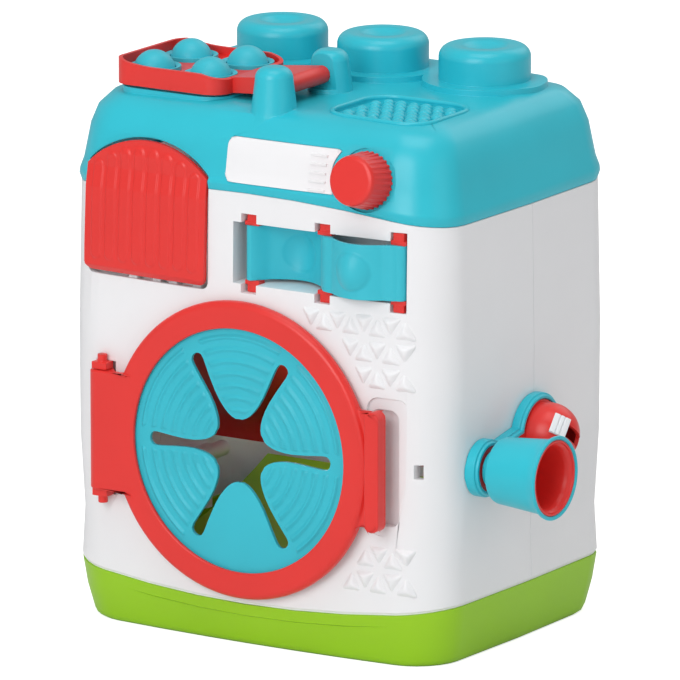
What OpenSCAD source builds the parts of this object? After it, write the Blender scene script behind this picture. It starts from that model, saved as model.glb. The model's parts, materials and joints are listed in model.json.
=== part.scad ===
// Toy washing machine for a young child: a hollow moulded casing with a swinging
// door, a tilting soap flap, a flip-up bubble lid, a dial, a popping strip and a
// turning cup on its right side. Millimetres, +Z up, front towards -Y.
// The origin is the middle of the base on the ground.

/* [Casing] */
// Width of the casing at its widest
body_w = 223; // [213:1:241]
// Depth of the casing at mid-width
body_d = 176; // [168:1:184]
// Plan radius of the upright corners
corner_r = 23.5; // [21.5:0.5:26]
// How far the front and back bow out at mid-width
front_bulge = 5; // [4:0.5:6]
// How far the sides bow out at mid-depth
side_bulge = 2; // [1:0.5:3]
// Thickness of the moulded walls
wall = 2.5; // [2.2:0.1:3]
// Height of the base rim at the corners
base_h = 30; // [28:0.5:32]
// Height of the top cover's lower edge at the corners
cover_z = 219.5; // [218.5:0.5:222]
// Height of the top cover, from that edge to the flat top
cover_h = 47; // [44:0.5:50]
// How far the two joint lines bow at mid-width
arch = 8.3; // [6.5:0.1:9]
// Depth position of the joint between the front and rear shells
seam_y = 2; // [0:0.5:6]
// Slack between moulded pieces that are clipped or screwed together
fit = 0.15; // [0.1:0.05:0.25]

/* [Door] */
// Sideways place of the door's middle
door_x = 0.5; // [-1:0.5:2]
// Height of the door's middle
door_z = 100; // [99:0.5:101]
// Outer radius of the door ring
door_r = 74.5; // [72:0.5:75]
// Radius of the opening in the door ring
eye_r = 61; // [58:0.5:62]
// Thickness of the door ring
door_t = 5; // [4.5:0.5:6]
// Thickness of the soft membrane
membrane_t = 1.8; // [1.5:0.1:2.2]
// Reach of the star's arms from the middle
star_r = 52.5; // [48:0.5:54]
// Spacing of the curved ribs on the petals
rib_pitch = 6; // [5:0.5:8]
// Radius of the door's hinge barrel
barrel_r = 6; // [5.5:0.1:6.4]
// Radius of the door's hinge pin
hinge_pin_r = 2.4; // [2:0.1:2.6]
// Sideways place of the door's hinge pin
hinge_x = -82.5; // [-83.5:0.5:-81.5]
// Height of the hinge tab and of the grip bar
tab_h = 60; // [52:1:64]
// Width of the grip bar
grip_w = 8; // [6:0.5:9]

/* [Soap flap] */
// Left edge of the flap
flap_x0 = -94; // [-95:0.5:-92]
// Right edge of the flap
flap_x1 = -21.5; // [-23:0.5:-20]
// How far the flap reaches below the cover's lower edge
flap_below = 40.5; // [38:0.5:42]
// How far its arched top reaches above that edge
flap_above = 26; // [24:0.5:28]
// Rise of the arched top over the flap's sides
flap_arch = 12; // [10:0.5:14]
// How far the flap stands proud of the casing
flap_proud = 2.3; // [1.5:0.1:2.5]
// Visible gap round the flap
flap_gap = 0.8; // [0.6:0.1:1.2]
// Radius of the flap's pin
flap_pin_r = 1.25; // [1:0.05:1.5]

/* [Popping strip] */
// Left edge of the window
win_x0 = -6; // [-7:0.5:-5]
// Right edge of the window
win_x1 = 91.3; // [91:0.1:92]
// Height of the window
win_h = 30.5; // [29:0.5:32]
// Wall left between the window and the cover's lower edge
win_below = 6.5; // [6:0.5:8]
// Depth of the well behind the window
well_d = 24; // [22:1:26]
// Sideways place of the middle pin
pin_mid_x = 45; // [44.5:0.5:45.5]
// Spacing of the three pins
pin_pitch = 42; // [41.5:0.5:42.5]
// Radius of the three pins
strip_pin_r = 2.2; // [2:0.1:2.6]
// Depth of each lobe of the strip
lobe_d = 11; // [9:0.5:12]
// Thickness of the strip
strip_t = 1.8; // [1.5:0.1:2]

/* [Top] */
// Radius of the three building studs
stud_r = 22.8; // [22:0.1:23]
// Height of the studs above their plateau
stud_h = 17; // [15:0.5:18]
// Distance between neighbouring studs
stud_pitch = 59.2; // [58.5:0.1:60]
// Depth position of the row of studs
stud_y = 39.5; // [38.5:0.5:40.5]
// Height of the plateau that carries the studs
plateau_h = 3; // [2:0.5:4]
// Width of the square lid tray
lid_w = 64; // [63:0.5:66]
// Height of the lid's low walls
lid_wall_h = 10; // [9.5:0.5:11]
// Height of the lid's higher left wall
lid_high_h = 12.5; // [12:0.5:14]
// Sideways place of the lid's hinge
lid_axis_x = 3; // [2:0.5:4]
// Radius of the lid's hinge pin
lid_pin_r = 2; // [1.6:0.1:2.2]
// Distance between neighbouring bubbles
bubble_pitch = 33; // [32:0.5:33.5]
// Radius of a bubble
bubble_r = 10.2; // [9.5:0.1:10.5]

/* [Dial] */
// Sideways place of the dial
dial_x = 67.8; // [66:0.1:69]
// Height of the dial's middle above the cover's lower edge
dial_up = 21.5; // [20.5:0.5:22.5]
// Radius of the dial at its foot
dial_r = 14.6; // [14:0.1:15.2]
// Height of the dial
dial_h = 16; // [14:0.5:17]
// Number of grip ribs round the dial
dial_ribs = 30; // [24:1:32]

/* [Side toys] */
// Distance of the turning cup's axis from the front of the casing
cup_in = 41.7; // [40:0.1:44]
// Height of the turning cup
cup_z = 97; // [95:0.5:99]
// Radius of the cup's rim
cup_r = 20.8; // [20:0.1:21.5]
// How far the cup reaches from the casing
cup_reach = 42; // [40:0.5:44]
// Depth position of the lever's dome
dome_y = 0; // [-1:0.5:1]
// Height of the lever's dome
dome_z = 106; // [105:0.5:107]
// Radius of the lever's dome
dome_r = 15; // [14:0.5:15.5]

/* [Hidden] */
$fn = 64;

teal = [0.23, 0.74, 0.80];
red = [0.91, 0.27, 0.24];
green = [0.58, 0.77, 0.13];
white = [0.95, 0.95, 0.95];
steel = [0.72, 0.73, 0.75];
eps = 0.01;
far = 400;
// Clearance of a pin that turns in its bore, and of moulded pieces that move past each other
run = 0.05;
clear = 0.4;

// ---------------------------------------------------------------- casing surface
// The casing is one lofted surface. A level is [height, inset from the widest plan, bow].
corner_n = 6;
face_n = 5;
side_n = 1;
shell_h = cover_z - base_h;
top_z = cover_z + cover_h;
corner_keep = 0.35;
// Share of the height and inset, from the bottom of each moulding upwards
base_profile = [[0, 8], [0.04, 6.4], [0.12, 5.4], [0.3, 4.2], [0.55, 2.6], [1, 0.9]];
wall_profile = [[0, 0.8], [0.13, 1.9], [0.33, 0.2], [0.62, 0], [0.84, 0.7], [1, 1.2]];
lip_profile = [[0, 1.2], [0.07, 0.3], [0.13, 0.6], [0.25, 2.2], [0.41, 3.4], [0.62, 5],
  [0.81, 8], [0.95, 14], [1, 23]];
tongue_h = 6;
tongue_t = 2.1;
wall_top = wall_profile[5][1];
lip_in = wall_top + 3;
rim_in = base_profile[5][1];

function half(e) = [body_w / 2 - side_bulge - e, body_d / 2 - front_bulge - e];
function quarter(c, r, a) =
  [for (i = [0:corner_n]) c + r * [cos(a + 90 * i / corner_n), sin(a + 90 * i / corner_n)]];
function between(p, q, n) = [for (i = [1:n]) p + (q - p) * i / (n + 1)];
function outline(e) =
  let (h = half(e), r = corner_r - corner_keep * e, k = [h[0] - r, h[1] - r])
  concat(quarter([k[0], k[1]], r, 0),
    between([k[0], h[1]], [-k[0], h[1]], face_n),
    quarter([-k[0], k[1]], r, 90),
    between([-h[0], k[1]], [-h[0], -k[1]], side_n),
    quarter([-k[0], -k[1]], r, 180),
    between([-k[0], -h[1]], [k[0], -h[1]], face_n),
    quarter([k[0], -k[1]], r, 270),
    between([h[0], -k[1]], [h[0], k[1]], side_n));
function hump(x, e) = 1 - pow(x / half(e)[0], 2);
function ring(level) =
  let (e = level[1], h = half(e))
  [for (p = outline(e)) [
    p[0] + sign(p[0]) * side_bulge * (1 - pow(p[1] / h[1], 2)),
    p[1] + sign(p[1]) * front_bulge * hump(p[0], e),
    level[0] + level[2] * hump(p[0], e)]];
// Depth of the front surface at a given place across, and of the side surface
function face_y(x, e) = -(half(e)[1] + front_bulge * hump(x, e));
function side_x(y, e) = half(e)[0] + side_bulge * (1 - pow(y / half(e)[1], 2));
function grow(levels, e) = [for (l = levels) [l[0], l[1] + e, l[2]]];
function stack(z0, h, profile, bows) =
  [for (i = [0:len(profile) - 1]) [z0 + h * profile[i][0], profile[i][1], bows[i]]];

base_levels = stack(0, base_h - fit, base_profile, [0, 0, 0, 0, -arch / 3, -arch]);
wall_levels = stack(base_h, shell_h - fit, wall_profile, [-arch, 0, 0, 0, arch / 3, arch]);
cover_levels = stack(cover_z, cover_h, lip_profile,
  [arch, arch, arch * 0.8, arch / 3, 0, 0, 0, 0, 0]);

slope_levels = [for (i = [2:6]) cover_levels[i]];

module loft(levels) {
  n = len(outline(0));
  m = len(levels);
  first = levels[0];
  last = levels[m - 1];
  points = concat([for (l = levels) each ring(l)],
    [[0, 0, first[0] + first[2]], [0, 0, last[0] + last[2]]]);
  sides = [for (j = [0:m - 2], i = [0:n - 1])
    let (a = j * n + i, b = j * n + (i + 1) % n) each [[a, a + n, b + n], [a, b + n, b]]];
  bottom = [for (i = [0:n - 1]) [m * n, i, (i + 1) % n]];
  top = [for (i = [0:n - 1]) [m * n + 1, (m - 1) * n + (i + 1) % n, (m - 1) * n + i]];
  polyhedron(points = points, faces = concat(sides, bottom, top), convexity = 6);
}

// A cylinder from one depth to another, and from one side place to another
module along_y(x, z, r, y0, y1) {
  translate([x, y1, z]) rotate([90, 0, 0]) cylinder(r = r, h = y1 - y0);
}
module along_x(y, z, r, x0, x1) {
  translate([x0, y, z]) rotate([0, 90, 0]) cylinder(r = r, h = x1 - x0);
}
module block(x0, x1, y0, y1, z0, z1) {
  translate([x0, y0, z0]) cube([x1 - x0, y1 - y0, z1 - z0]);
}
// A flat shape drawn in X and Z, carried through from one depth to another
module through_y(y0, y1) {
  translate([0, y1, 0]) rotate([90, 0, 0]) linear_extrude(y1 - y0) children();
}
module round_rect(x0, x1, y0, y1, r) {
  translate([x0 + r, y0]) square([x1 - x0 - 2 * r, y1 - y0]);
  translate([x0, y0 + r]) square([x1 - x0, y1 - y0 - 2 * r]);
  for (x = [x0 + r, x1 - r], y = [y0 + r, y1 - r]) translate([x, y]) circle(r);
}

// ---------------------------------------------------------------- derived places
seat_y = face_y(0, 0) - 0.4;
door_back = seat_y - 0.3;
door_front = door_back - door_t;
door_hole_r = eye_r + 5;
membrane_front = door_front + 2.6;
membrane_back = membrane_front + membrane_t;
clamp_r = door_hole_r - 1;
membrane_r = clamp_r - 0.2;
hinge_y = door_front + barrel_r;
tab_z0 = door_z - tab_h / 2;
tab_z1 = door_z + tab_h / 2;
pocket_r = barrel_r + 0.8;
lug_h = 3.6;
pocket_over = lug_h + 0.3;
grip_x0 = door_x + door_r + 0.5;
grip_x1 = grip_x0 + grip_w;
flap_mid = (flap_x0 + flap_x1) / 2;
flap_z0 = cover_z - flap_below;
flap_z1 = cover_z + flap_above;
flap_shoulder = flap_z1 - flap_arch;
flap_axis_z = flap_z0 + 2.5;
flap_axis_y = face_y(flap_x0 + 20, 1.2) + 2.5;
flap_ear_r = 2.7;
flap_drop_gap = 2;
flap_top_gap = 2;
flap_bevel = 2;
flap_in = 0.3;
flap_ears = [[flap_x0 + 30, flap_x0 + 38], [flap_x1 - 19, flap_x1 - 11]];
bracket_w = 5;
bracket_xs = [flap_ears[0][0] - clear - bracket_w, flap_ears[0][1] + clear,
  flap_ears[1][0] - clear - bracket_w, flap_ears[1][1] + clear];
win_z1 = cover_z - win_below;
win_z0 = win_z1 - win_h;
strip_z0 = win_z0 + 1.5;
strip_z1 = win_z1 - 1.5;
pin_xs = [for (i = [-1:1]) pin_mid_x + i * pin_pitch];
win_in = 1.7;
pin_y = face_y(pin_mid_x, win_in) + strip_pin_r + 1.5;
notch_w = 8.6;
notch_h = 4.5;
dial_z = cover_z + dial_up;
dial_tilt = atan((lip_profile[5][1] - lip_profile[4][1]) / ((lip_profile[5][0] - lip_profile[4][0]) * cover_h));
dial_in = lip_profile[4][1]
  + (dial_z - cover_z - lip_profile[4][0] * cover_h) * tan(dial_tilt);
dial_y = face_y(dial_x, dial_in);
dial_shaft_r = 3;
dial_gap = 1;
lid_z0 = top_z + 2.7;
lid_floor_z = lid_z0 + 6;
under_z = lid_floor_z - 3.6;
lid_axis_z = top_z + 9;
lid_x1 = lid_axis_x - 29;
lid_x0 = lid_x1 - lid_w;
lid_y0 = -68;
lid_mid_x = (lid_x0 + lid_x1) / 2;
lid_mid_y = lid_y0 + lid_w / 2;
post_ys = [lid_mid_y - 28, lid_mid_y + 22.5];
post_r = 12;
post_h = 20.5;
post_top_r = 9.4;
post_round = 6;
post_flat = 7;
side_seat = side_x(0, 0) + 0.4;
cup_y = cup_in - body_d / 2;
bezel_t = 5.5;

// ---------------------------------------------------------------- base
module base_tray() {
  color(green) difference() {
    union() {
      difference() {
        loft(base_levels);
        loft([[wall, base_profile[0][1] + 2, 0], [base_h * base_profile[3][0], base_profile[3][1] + wall, 0],
          [base_h * base_profile[4][0], base_profile[4][1] + wall, -arch / 3], [base_h + 1, rim_in + wall, -arch]]);
      }
      base_tongue();
      for (x = [-1, 1], y = [-1, 1]) translate([x * screw_x, y * screw_y, wall - 1])
        cylinder(r = 5, h = lug_z - fit - wall + 1);
    }
    for (x = [-1, 1], y = [-1, 1]) translate([x * screw_x, y * screw_y, 0]) {
      translate([0, 0, -eps]) cylinder(r = screw_head_r + 0.3, h = head_z);
      cylinder(r = screw_r + 0.25, h = base_h * 2);
    }
    for (x = [-1, 1], y = [-1, 1]) translate([x * pad_x, y * pad_y, -eps])
      cylinder(r = pad_r + fit, h = pad_t + eps);
  }
}
// Upstand inside the rim that locates the casing
module base_tongue() {
  inner = wall_profile[0][1] + wall + 0.1;
  difference() {
    loft([[base_h - 6, inner - 1.6, -arch], [base_h - fit, inner - 1.6, -arch],
      [base_h - fit, inner + fit, -arch], [base_h + 4, inner + fit, -arch]]);
    loft([[base_h - 7, inner + 2, -arch], [base_h + 5, inner + 2, -arch]]);
  }
}
screw_r = 1.5;
screw_head_r = 3;
screw_x = body_w / 2 - 14;
screw_y = 24;
lug_z = base_h + 5;
lug_t = 9;
head_z = lug_z - 8;
pad_x = body_w / 2 - 30;
pad_y = body_d / 2 - 27;
pad_r = 8;
pad_t = 1.6;

module base_pads() {
  color([0.3, 0.5, 0.1]) for (x = [-1, 1], y = [-1, 1])
    translate([x * pad_x, y * pad_y, 0]) cylinder(r = pad_r, h = pad_t - fit / 3);
}
// A pan-head screw, tip upwards, with its head's seat at z = 0
module screw(length) {
  difference() {
    translate([0, 0, -2]) cylinder(r = screw_head_r, h = 2);
    for (a = [0, 90]) rotate(a) translate([-1.8, -0.4, -2.1]) cube([3.6, 0.8, 1]);
  }
  translate([0, 0, -eps]) cylinder(r = screw_r, h = length + eps);
}
module base_screws() {
  color(steel) for (x = [-1, 1], y = [-1, 1])
    translate([x * screw_x, y * screw_y, head_z - 0.05]) screw(lug_t + 5);
}

// ---------------------------------------------------------------- front and rear shells
module wall_body() {
  ledge = lip_in + fit;
  groove = wall_profile[0][1] + 0.7;
  outer = concat([[base_h, groove, -arch], [base_h + 0.8, groove, -arch]],
    [[base_h + 1.4, wall_profile[0][1], -arch]],
    [for (i = [1:5]) wall_levels[i]],
    [[cover_z - fit, ledge, arch], [cover_z + tongue_h, ledge, arch]]);
  inner = concat([[base_h - 1, wall_profile[0][1] + wall, -arch]],
    grow([for (i = [1:4]) wall_levels[i]], wall),
    [[cover_z - 8, wall_top + wall, arch], [cover_z - 3, ledge + tongue_t, arch],
      [cover_z + tongue_h + 1, ledge + tongue_t, arch]]);
  difference() {
    loft(outer);
    loft(inner);
  }
}
// The filled casing, used to trim what grows inwards from the walls
module wall_solid(e) {
  loft(grow([for (l = wall_levels) l], e));
}
column_x = body_w / 2 - 15;
column_zs = [62, 200];
column_r = 4;
// Screw columns that meet at the seam, each on a web from the side wall
module shell_columns(side) {
  y0 = side < 0 ? seam_y - 40 : seam_y + 0.05;
  y1 = side < 0 ? seam_y - 0.05 : seam_y + 40;
  for (x = [-1, 1], z = column_zs) {
    along_y(x * column_x, z, column_r, y0, y1);
    block(x > 0 ? column_x : -far, x > 0 ? far : -column_x, y0, y1, z - 1.2, z + 1.2);
  }
}
module lugs(side) {
  for (x = [-1, 1]) translate([x * screw_x, side * screw_y, lug_z]) {
    cylinder(r = 5, h = lug_t);
    translate([x > 0 ? 0 : -14, -5, 0]) cube([14, 10, lug_t]);
  }
}
module lug_holes(side) {
  for (x = [-1, 1]) translate([x * screw_x, side * screw_y, lug_z - 1])
    cylinder(r = screw_r + 0.03, h = lug_t);
}
module side_pads() {
  along_x(dome_y, dome_z, dome_r + 2, side_seat - 2, side_seat);
  along_x(cup_y, cup_z, 12, side_seat - 4, side_seat);
}
module flap_outline(gap) {
  w = flap_x1 - flap_x0 + 2 * gap;
  rise = flap_z1 - flap_shoulder;
  r = (pow((w / 2 - 3), 2) + rise * rise) / (2 * rise);
  intersection() {
    translate([flap_x0 - gap, flap_z0 - (gap > 0 ? flap_drop_gap : 0)])
      square([w, flap_z1 - flap_z0 + 4]);
    translate([flap_mid, flap_z1 + (gap > 0 ? flap_top_gap : 0) - r]) circle(r, $fn = 128);
    round_rect(flap_x0 - gap, flap_x1 + gap, flap_z0 - (gap > 0 ? flap_drop_gap : 0), flap_z1 + 8, 4);
  }
}
// Four small uprights behind the flap's lower edge that hold its pin
module flap_brackets() {
  for (x = bracket_xs) difference() {
    block(x, x + bracket_w, face_y(x, 0) + wall, flap_axis_y + 4, flap_z0 - 9, flap_axis_z + 3.2);
    along_x(flap_axis_y, flap_axis_z, flap_pin_r + 0.02, -far, far);
    block(-far, far, -far, flap_axis_y - 1.6, flap_z0 - flap_drop_gap, flap_axis_z - 1);
  }
}
module front_shell() {
  well_y = face_y(0, 0) + well_d;
  color(white) difference() {
    union() {
      difference() {
        intersection() {
          wall_body();
          block(-far, far, -far, seam_y - 0.05, 0, far);
        }
        through_y(-far / 2, -40) flap_outline(flap_gap);
      }
      flap_brackets();
      // Flat seat behind the door ring
      difference() {
        along_y(door_x, door_z, door_hole_r + 3, seat_y, face_y(0, 0) + 7);
        block(-far, far, -far, far, -far, base_h);
      }
      // Hinge pocket, grip recess and window well, trimmed to the outside of the wall
      intersection() {
        wall_solid(0.02);
        union() {
          translate([hinge_x, hinge_y, tab_z0 - 9]) cylinder(r = pocket_r + wall, h = tab_h + 18);
          block(door_x + 70, grip_x1 + 14, -far, face_y(0, 0) + 12, tab_z0 - 7, tab_z1 + 7);
          block(win_x0 - wall, win_x1 + wall, -far, well_y + wall, win_z0 - 6.5, win_z1 + 6.5);
        }
      }
      intersection() {
        wall_solid(1);
        union() {
          shell_columns(-1);
          lugs(-1);
          baffle_pegs(-28);
        }
      }
      intersection() {
        side_pads();
        block(0, far, -far, seam_y - 0.05, 0, far);
      }
    }
    along_y(door_x, door_z, door_hole_r, -far / 2, face_y(0, 0) + 30);
    translate([hinge_x, hinge_y, tab_z0 - pocket_over]) cylinder(r = pocket_r, h = tab_h + 2 * pocket_over);
    translate([hinge_x, hinge_y, tab_z0 - 8]) cylinder(r = hinge_pin_r + 0.02, h = tab_h + 16);
    grip_recess();
    // Window well, deeper than its frame, with three notches above and below
    block(win_x0, win_x1, -far, well_y, win_z0, win_z1);
    for (z = [win_z0 - 7, win_z1 + wall])
      block(win_x0 - 2 * wall, win_x1 + 2 * wall, face_y(0, 0) + 12, well_y + 2 * wall, z, z + 7 - wall);
    for (x = pin_xs) block(x - notch_w / 2, x + notch_w / 2, -far, pin_y + 3.2,
      win_z0 - notch_h, win_z1 + notch_h);
    // Small slot beside the door
    block(grip_x1 + 11.5, grip_x1 + 15.5, -far, -50, door_z - 4, door_z + 3);
    for (x = [-1, 1], z = column_zs) along_y(x * column_x, z, screw_r + 0.03, seam_y - 14, seam_y + 1);
    lug_holes(-1);
    at_dial() translate([0, 0, -3]) cylinder(r = dial_r + dial_gap, h = 30);
    along_x(cup_y, cup_z, cup_stem_r + run, 90, far);
    along_x(side_screw_y, side_screw_z, screw_r + 0.3, 90, far);
    translate([side_seat - 20, dome_y, dome_z]) rotate([0, 90, 0]) cylinder(r = screw_r + 0.3, h = 40);
  }
}
grip_margin = 9.5;
pocket_d = 6;
module grip_recess() {
  // Shallow stepped panel, then the finger pocket behind the grip bar
  through_y(-far / 2, face_y(grip_x1, 0) + 1.4)
    round_rect(door_x + 70, grip_x1 + grip_margin, tab_z0 - 4, tab_z1 + 5, 6);
  through_y(-far / 2, face_y(grip_x1, 0) + pocket_d)
    round_rect(door_x + 71, grip_x1 + 4, tab_z0 + 1, tab_z1 - 1, 5);
}
module rear_shell() {
  color(white) difference() {
    union() {
      intersection() {
        wall_body();
        block(-far, far, seam_y + 0.05, far, 0, far);
      }
      intersection() {
        wall_solid(1);
        union() {
          shell_columns(1);
          lugs(1);
          baffle_pegs(32);
        }
      }
      intersection() {
        side_pads();
        block(0, far, seam_y + 0.05, far, 0, far);
      }
    }
    for (x = [-1, 1], z = column_zs) {
      along_y(x * column_x, z, screw_head_r + 0.2, seam_y + 5, far / 2);
      along_y(x * column_x, z, screw_r + 0.2, seam_y - 1, far / 2);
    }
    lug_holes(1);
    translate([side_seat - 20, dome_y, dome_z]) rotate([0, 90, 0]) cylinder(r = screw_r + 0.3, h = 40);
  }
}
module shell_screws() {
  color(steel) for (x = [-1, 1], z = column_zs)
    translate([x * column_x, seam_y + 5 + fit, z]) rotate([90, 0, 0]) screw(16);
}

// ---------------------------------------------------------------- top cover
module stud() {
  round_over = 6;
  dimple = 12.5;
  dimple_up = 17.5;
  difference() {
    rotate_extrude() {
      square([stud_r - round_over, stud_h]);
      square([stud_r, stud_h - round_over]);
      translate([stud_r - round_over, stud_h - round_over]) circle(round_over);
    }
    translate([0, 0, stud_h + dimple_up]) sphere(r = norm([dimple, dimple_up]) - 0.2, $fn = 96);
    translate([0, 0, -eps]) cylinder(r = stud_r - wall, h = stud_h - 3 - wall);
  }
}
stud_xs = [for (i = [-1:1]) i * stud_pitch];
plateau_r = 31;
// Raised round pads that follow the cover's own surface
module plateau(inside) {
  difference() {
    intersection() {
      for (x = stud_xs) translate([x, stud_y, top_z - 16]) cylinder(r = plateau_r, h = 16 + plateau_h);
      translate([0, 0, plateau_h]) loft([for (i = [4:8]) cover_levels[i]]);
    }
    loft(inside);
  }
}
drop_r = 10;
drop_w = lid_w - 8;
rim_h = 1.4;
module drop_outline(e) {
  w = drop_w / 2 + e;
  translate([lid_mid_x, lid_mid_y]) round_rect(-w, w, -w, w, drop_r + e);
}
post_foot = 7;
module hinge_post(y, inner) {
  difference() {
    translate([lid_axis_x, y, top_z - post_foot]) {
      cylinder(r1 = post_r, r2 = post_top_r, h = post_h - post_round + post_foot);
      translate([0, 0, post_h - post_round + post_foot]) rotate_extrude() intersection() {
        union() {
          translate([post_top_r - post_round, 0]) circle(post_round);
          square([post_top_r - post_round, post_round]);
        }
        square([post_top_r, post_round]);
      }
    }
    translate([lid_axis_x - 20, inner > 0 ? y + post_flat : y - post_flat - 20, top_z + 2]) cube([40, 20, 40]);
  }
}
tread_x = 58;
tread_y = -37;
tread_w = 56;
tread_d = 50;
tread_r = 14;
tread_depth = 2;
// Rounded pocket in the top; grown outwards and thickened it is also the wall beneath
module tread(e, z, h) {
  translate([tread_x, tread_y, z]) linear_extrude(h)
    round_rect(-tread_w / 2 - e, tread_w / 2 + e, -tread_d / 2 - e, tread_d / 2 + e, tread_r + e);
}
module at_dial() {
  translate([dial_x, dial_y, dial_z]) rotate([90 - dial_tilt, 0, 0]) children();
}
plate_x0 = -11.5;
plate_z0 = cover_z + 13;
plate_z1 = top_z - 12.5;
module plate_outline(e) {
  difference() {
    round_rect(plate_x0 - e, dial_x - 14 + e, plate_z0 - e, plate_z1 + e, 4);
    translate([dial_x, dial_z]) circle(dial_r + 5 - e);
  }
}
module top_cover() {
  cover_in = concat([[cover_z - 1, lip_in, arch], [cover_z + tongue_h + 0.5, lip_in, arch],
    [cover_z + cover_h * 0.3, 6.6, arch / 4]], grow([for (i = [4:6]) cover_levels[i]], wall + 0.3),
    [[top_z - wall - 0.6, 22, 0], [top_z - wall, 30, 0]]);
  color(teal) difference() {
    union() {
      difference() {
        loft(cover_levels);
        loft(cover_in);
      }
      plateau([for (i = [3:len(cover_in) - 1]) cover_in[i]]);
      for (x = stud_xs) translate([x, stud_y, top_z + plateau_h - eps]) stud();
      translate([0, 0, top_z - 6]) linear_extrude(6 + rim_h) drop_outline(3.5);
      hinge_post(post_ys[0], 1);
      hinge_post(post_ys[1], -1);
      // Thicker wall under the textured pocket, behind the dial and behind the label plate
      intersection() {
        loft([for (i = [3:8]) cover_levels[i]]);
        union() {
          tread(3, top_z - tread_depth - 3.5, 4);
          at_dial() translate([0, 0, -7]) cylinder(r = dial_r + 4, h = 6);
          through_y(-far / 2, face_y(20, 5) + 5.5) plate_outline(2);
        }
      }
    }
    for (x = stud_xs) translate([x, stud_y, top_z - wall - 1]) cylinder(r = stud_r - wall, h = wall + 2 + plateau_h);
    translate([0, 0, top_z - 10]) linear_extrude(20) drop_outline(0);
    tread(0, top_z - tread_depth, 10);
    at_dial() {
      translate([0, 0, -1.5]) cylinder(r = dial_r + dial_gap, h = 30);
      translate([0, 0, -20]) cylinder(r = dial_shaft_r + run, h = 30);
    }
    intersection() {
      through_y(-far / 2, -40) plate_outline(fit);
      difference() {
        block(-far, far, -far, 0, 0, far);
        loft(grow(slope_levels, 1));
      }
    }
    through_y(-far / 2, -40) flap_outline(flap_gap);
    translate([lid_axis_x, post_ys[0] - 6, lid_axis_z]) rotate([-90, 0, 0])
      cylinder(r = lid_pin_r + 0.02, h = post_ys[1] - post_ys[0] + 12);
  }
}
module label_plate() {
  color(white) intersection() {
    through_y(-far / 2, -40) plate_outline(0);
    difference() {
      loft(grow(slope_levels, -0.5));
      loft(grow(slope_levels, 1 - fit / 2));
    }
  }
}

// ---------------------------------------------------------------- inside
ramp_t = 2.5;
ramp_x = body_w / 2 - 20;
ramp_rib_x = 60;
ramp_front = [face_y(0, 0) + 17, base_h + 2];
ramp_back = [body_d / 2 - 13, 53];
module floor_ramp() {
  // A scoop that curves down from the back wall to the door
  sag = 26;
  steps = 12;
  path = [for (i = [0:steps]) let (t = i / steps)
    [ramp_front[0] + (ramp_back[0] - ramp_front[0]) * t,
      ramp_front[1] - sag * t * (1 - t) + (ramp_back[1] - ramp_front[1]) * t * t]];
  color(green) {
    translate([-ramp_x, 0, 0]) rotate([90, 0, 90]) linear_extrude(2 * ramp_x)
      polygon(concat(path, [for (i = [steps:-1:0]) path[i] - [0, ramp_t]]));
    // Ribs that stand on the floor of the base
    for (x = [-1, 0, 1]) translate([x * ramp_rib_x - ramp_t / 2, 0, 0]) rotate([90, 0, 90])
      linear_extrude(ramp_t) polygon(concat([for (i = [1:steps - 2]) path[i] - [0, ramp_t / 2]],
        [[path[steps - 2][0], wall + fit / 3], [path[1][0], wall + fit / 3]]));
  }
}
baffle_top = [-50, 168];
baffle_low = [36, 84];
baffle_t = 2.5;
baffle_x = body_w / 2 - 5.2;
baffle_dir = (baffle_low - baffle_top) / norm(baffle_low - baffle_top);
baffle_side = [baffle_dir[1], -baffle_dir[0]];
module drum_baffle() {
  steps = 8;
  bend = 22;
  turn = 46;
  angle0 = atan2(-baffle_side[1], -baffle_side[0]);
  centre = baffle_low + baffle_side * bend;
  angles = [for (i = [0:steps]) angle0 - turn * i / steps];
  color(red) translate([-baffle_x, 0, 0]) rotate([90, 0, 90]) linear_extrude(2 * baffle_x)
    polygon(concat([baffle_top], [for (a = angles) centre + bend * [cos(a), sin(a)]],
      [for (i = [steps:-1:0]) centre + (bend - baffle_t) * [cos(angles[i]), sin(angles[i])]],
      [baffle_top + baffle_side * baffle_t]));
}
// Pegs on the side walls, at a given depth, that carry the sloping baffle
peg_r = 3;
peg_w = 6;
module baffle_pegs(y) {
  at = baffle_top + baffle_dir * (y - baffle_top[0]) / baffle_dir[0] + baffle_side * (baffle_t + peg_r + 0.05);
  along_x(at[0], at[1], peg_r, baffle_x - peg_w, far);
  along_x(at[0], at[1], peg_r, -far, peg_w - baffle_x);
}

// ---------------------------------------------------------------- door
module ring_profile(r0, r1, t, edge) {
  // Rounded at the outer front edge, slightly eased at the inner one
  difference() {
    translate([r0, 0]) square([r1 - r0, t]);
    translate([r1 - edge, t - edge]) difference() {
      square(edge + 1);
      circle(edge);
    }
  }
}
module door_ring() {
  color(red) difference() {
    union() {
      translate([door_x, door_back, door_z]) rotate([90, 0, 0]) rotate_extrude($fn = 128)
        ring_profile(eye_r, door_r, door_t, 3.2);
      // Hinge tab and barrel
      difference() {
        block(hinge_x, door_x - eye_r - 4, door_front, hinge_y + 1.5, tab_z0, tab_z1);
        along_y(door_x, door_z, eye_r + 1, -far, far);
        block(hinge_x + barrel_r + 1, far, door_back, far, 0, far);
      }
      translate([hinge_x, hinge_y, tab_z0]) cylinder(r = barrel_r, h = tab_h);
      // Web and grip bar
      difference() {
        block(door_x + eye_r + 3, grip_x0 + 1, door_front + 2, door_back, tab_z0 + 1, tab_z1 - 1);
        along_y(door_x, door_z, eye_r + 1, -far, far);
      }
      translate([(grip_x0 + grip_x1) / 2, door_back, door_z]) grip_bar();
    }
    along_y(door_x, door_z, membrane_r + fit, membrane_front - fit, 0);
    translate([hinge_x, hinge_y, 0]) cylinder(r = hinge_pin_r + run, h = far);
  }
}
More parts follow.
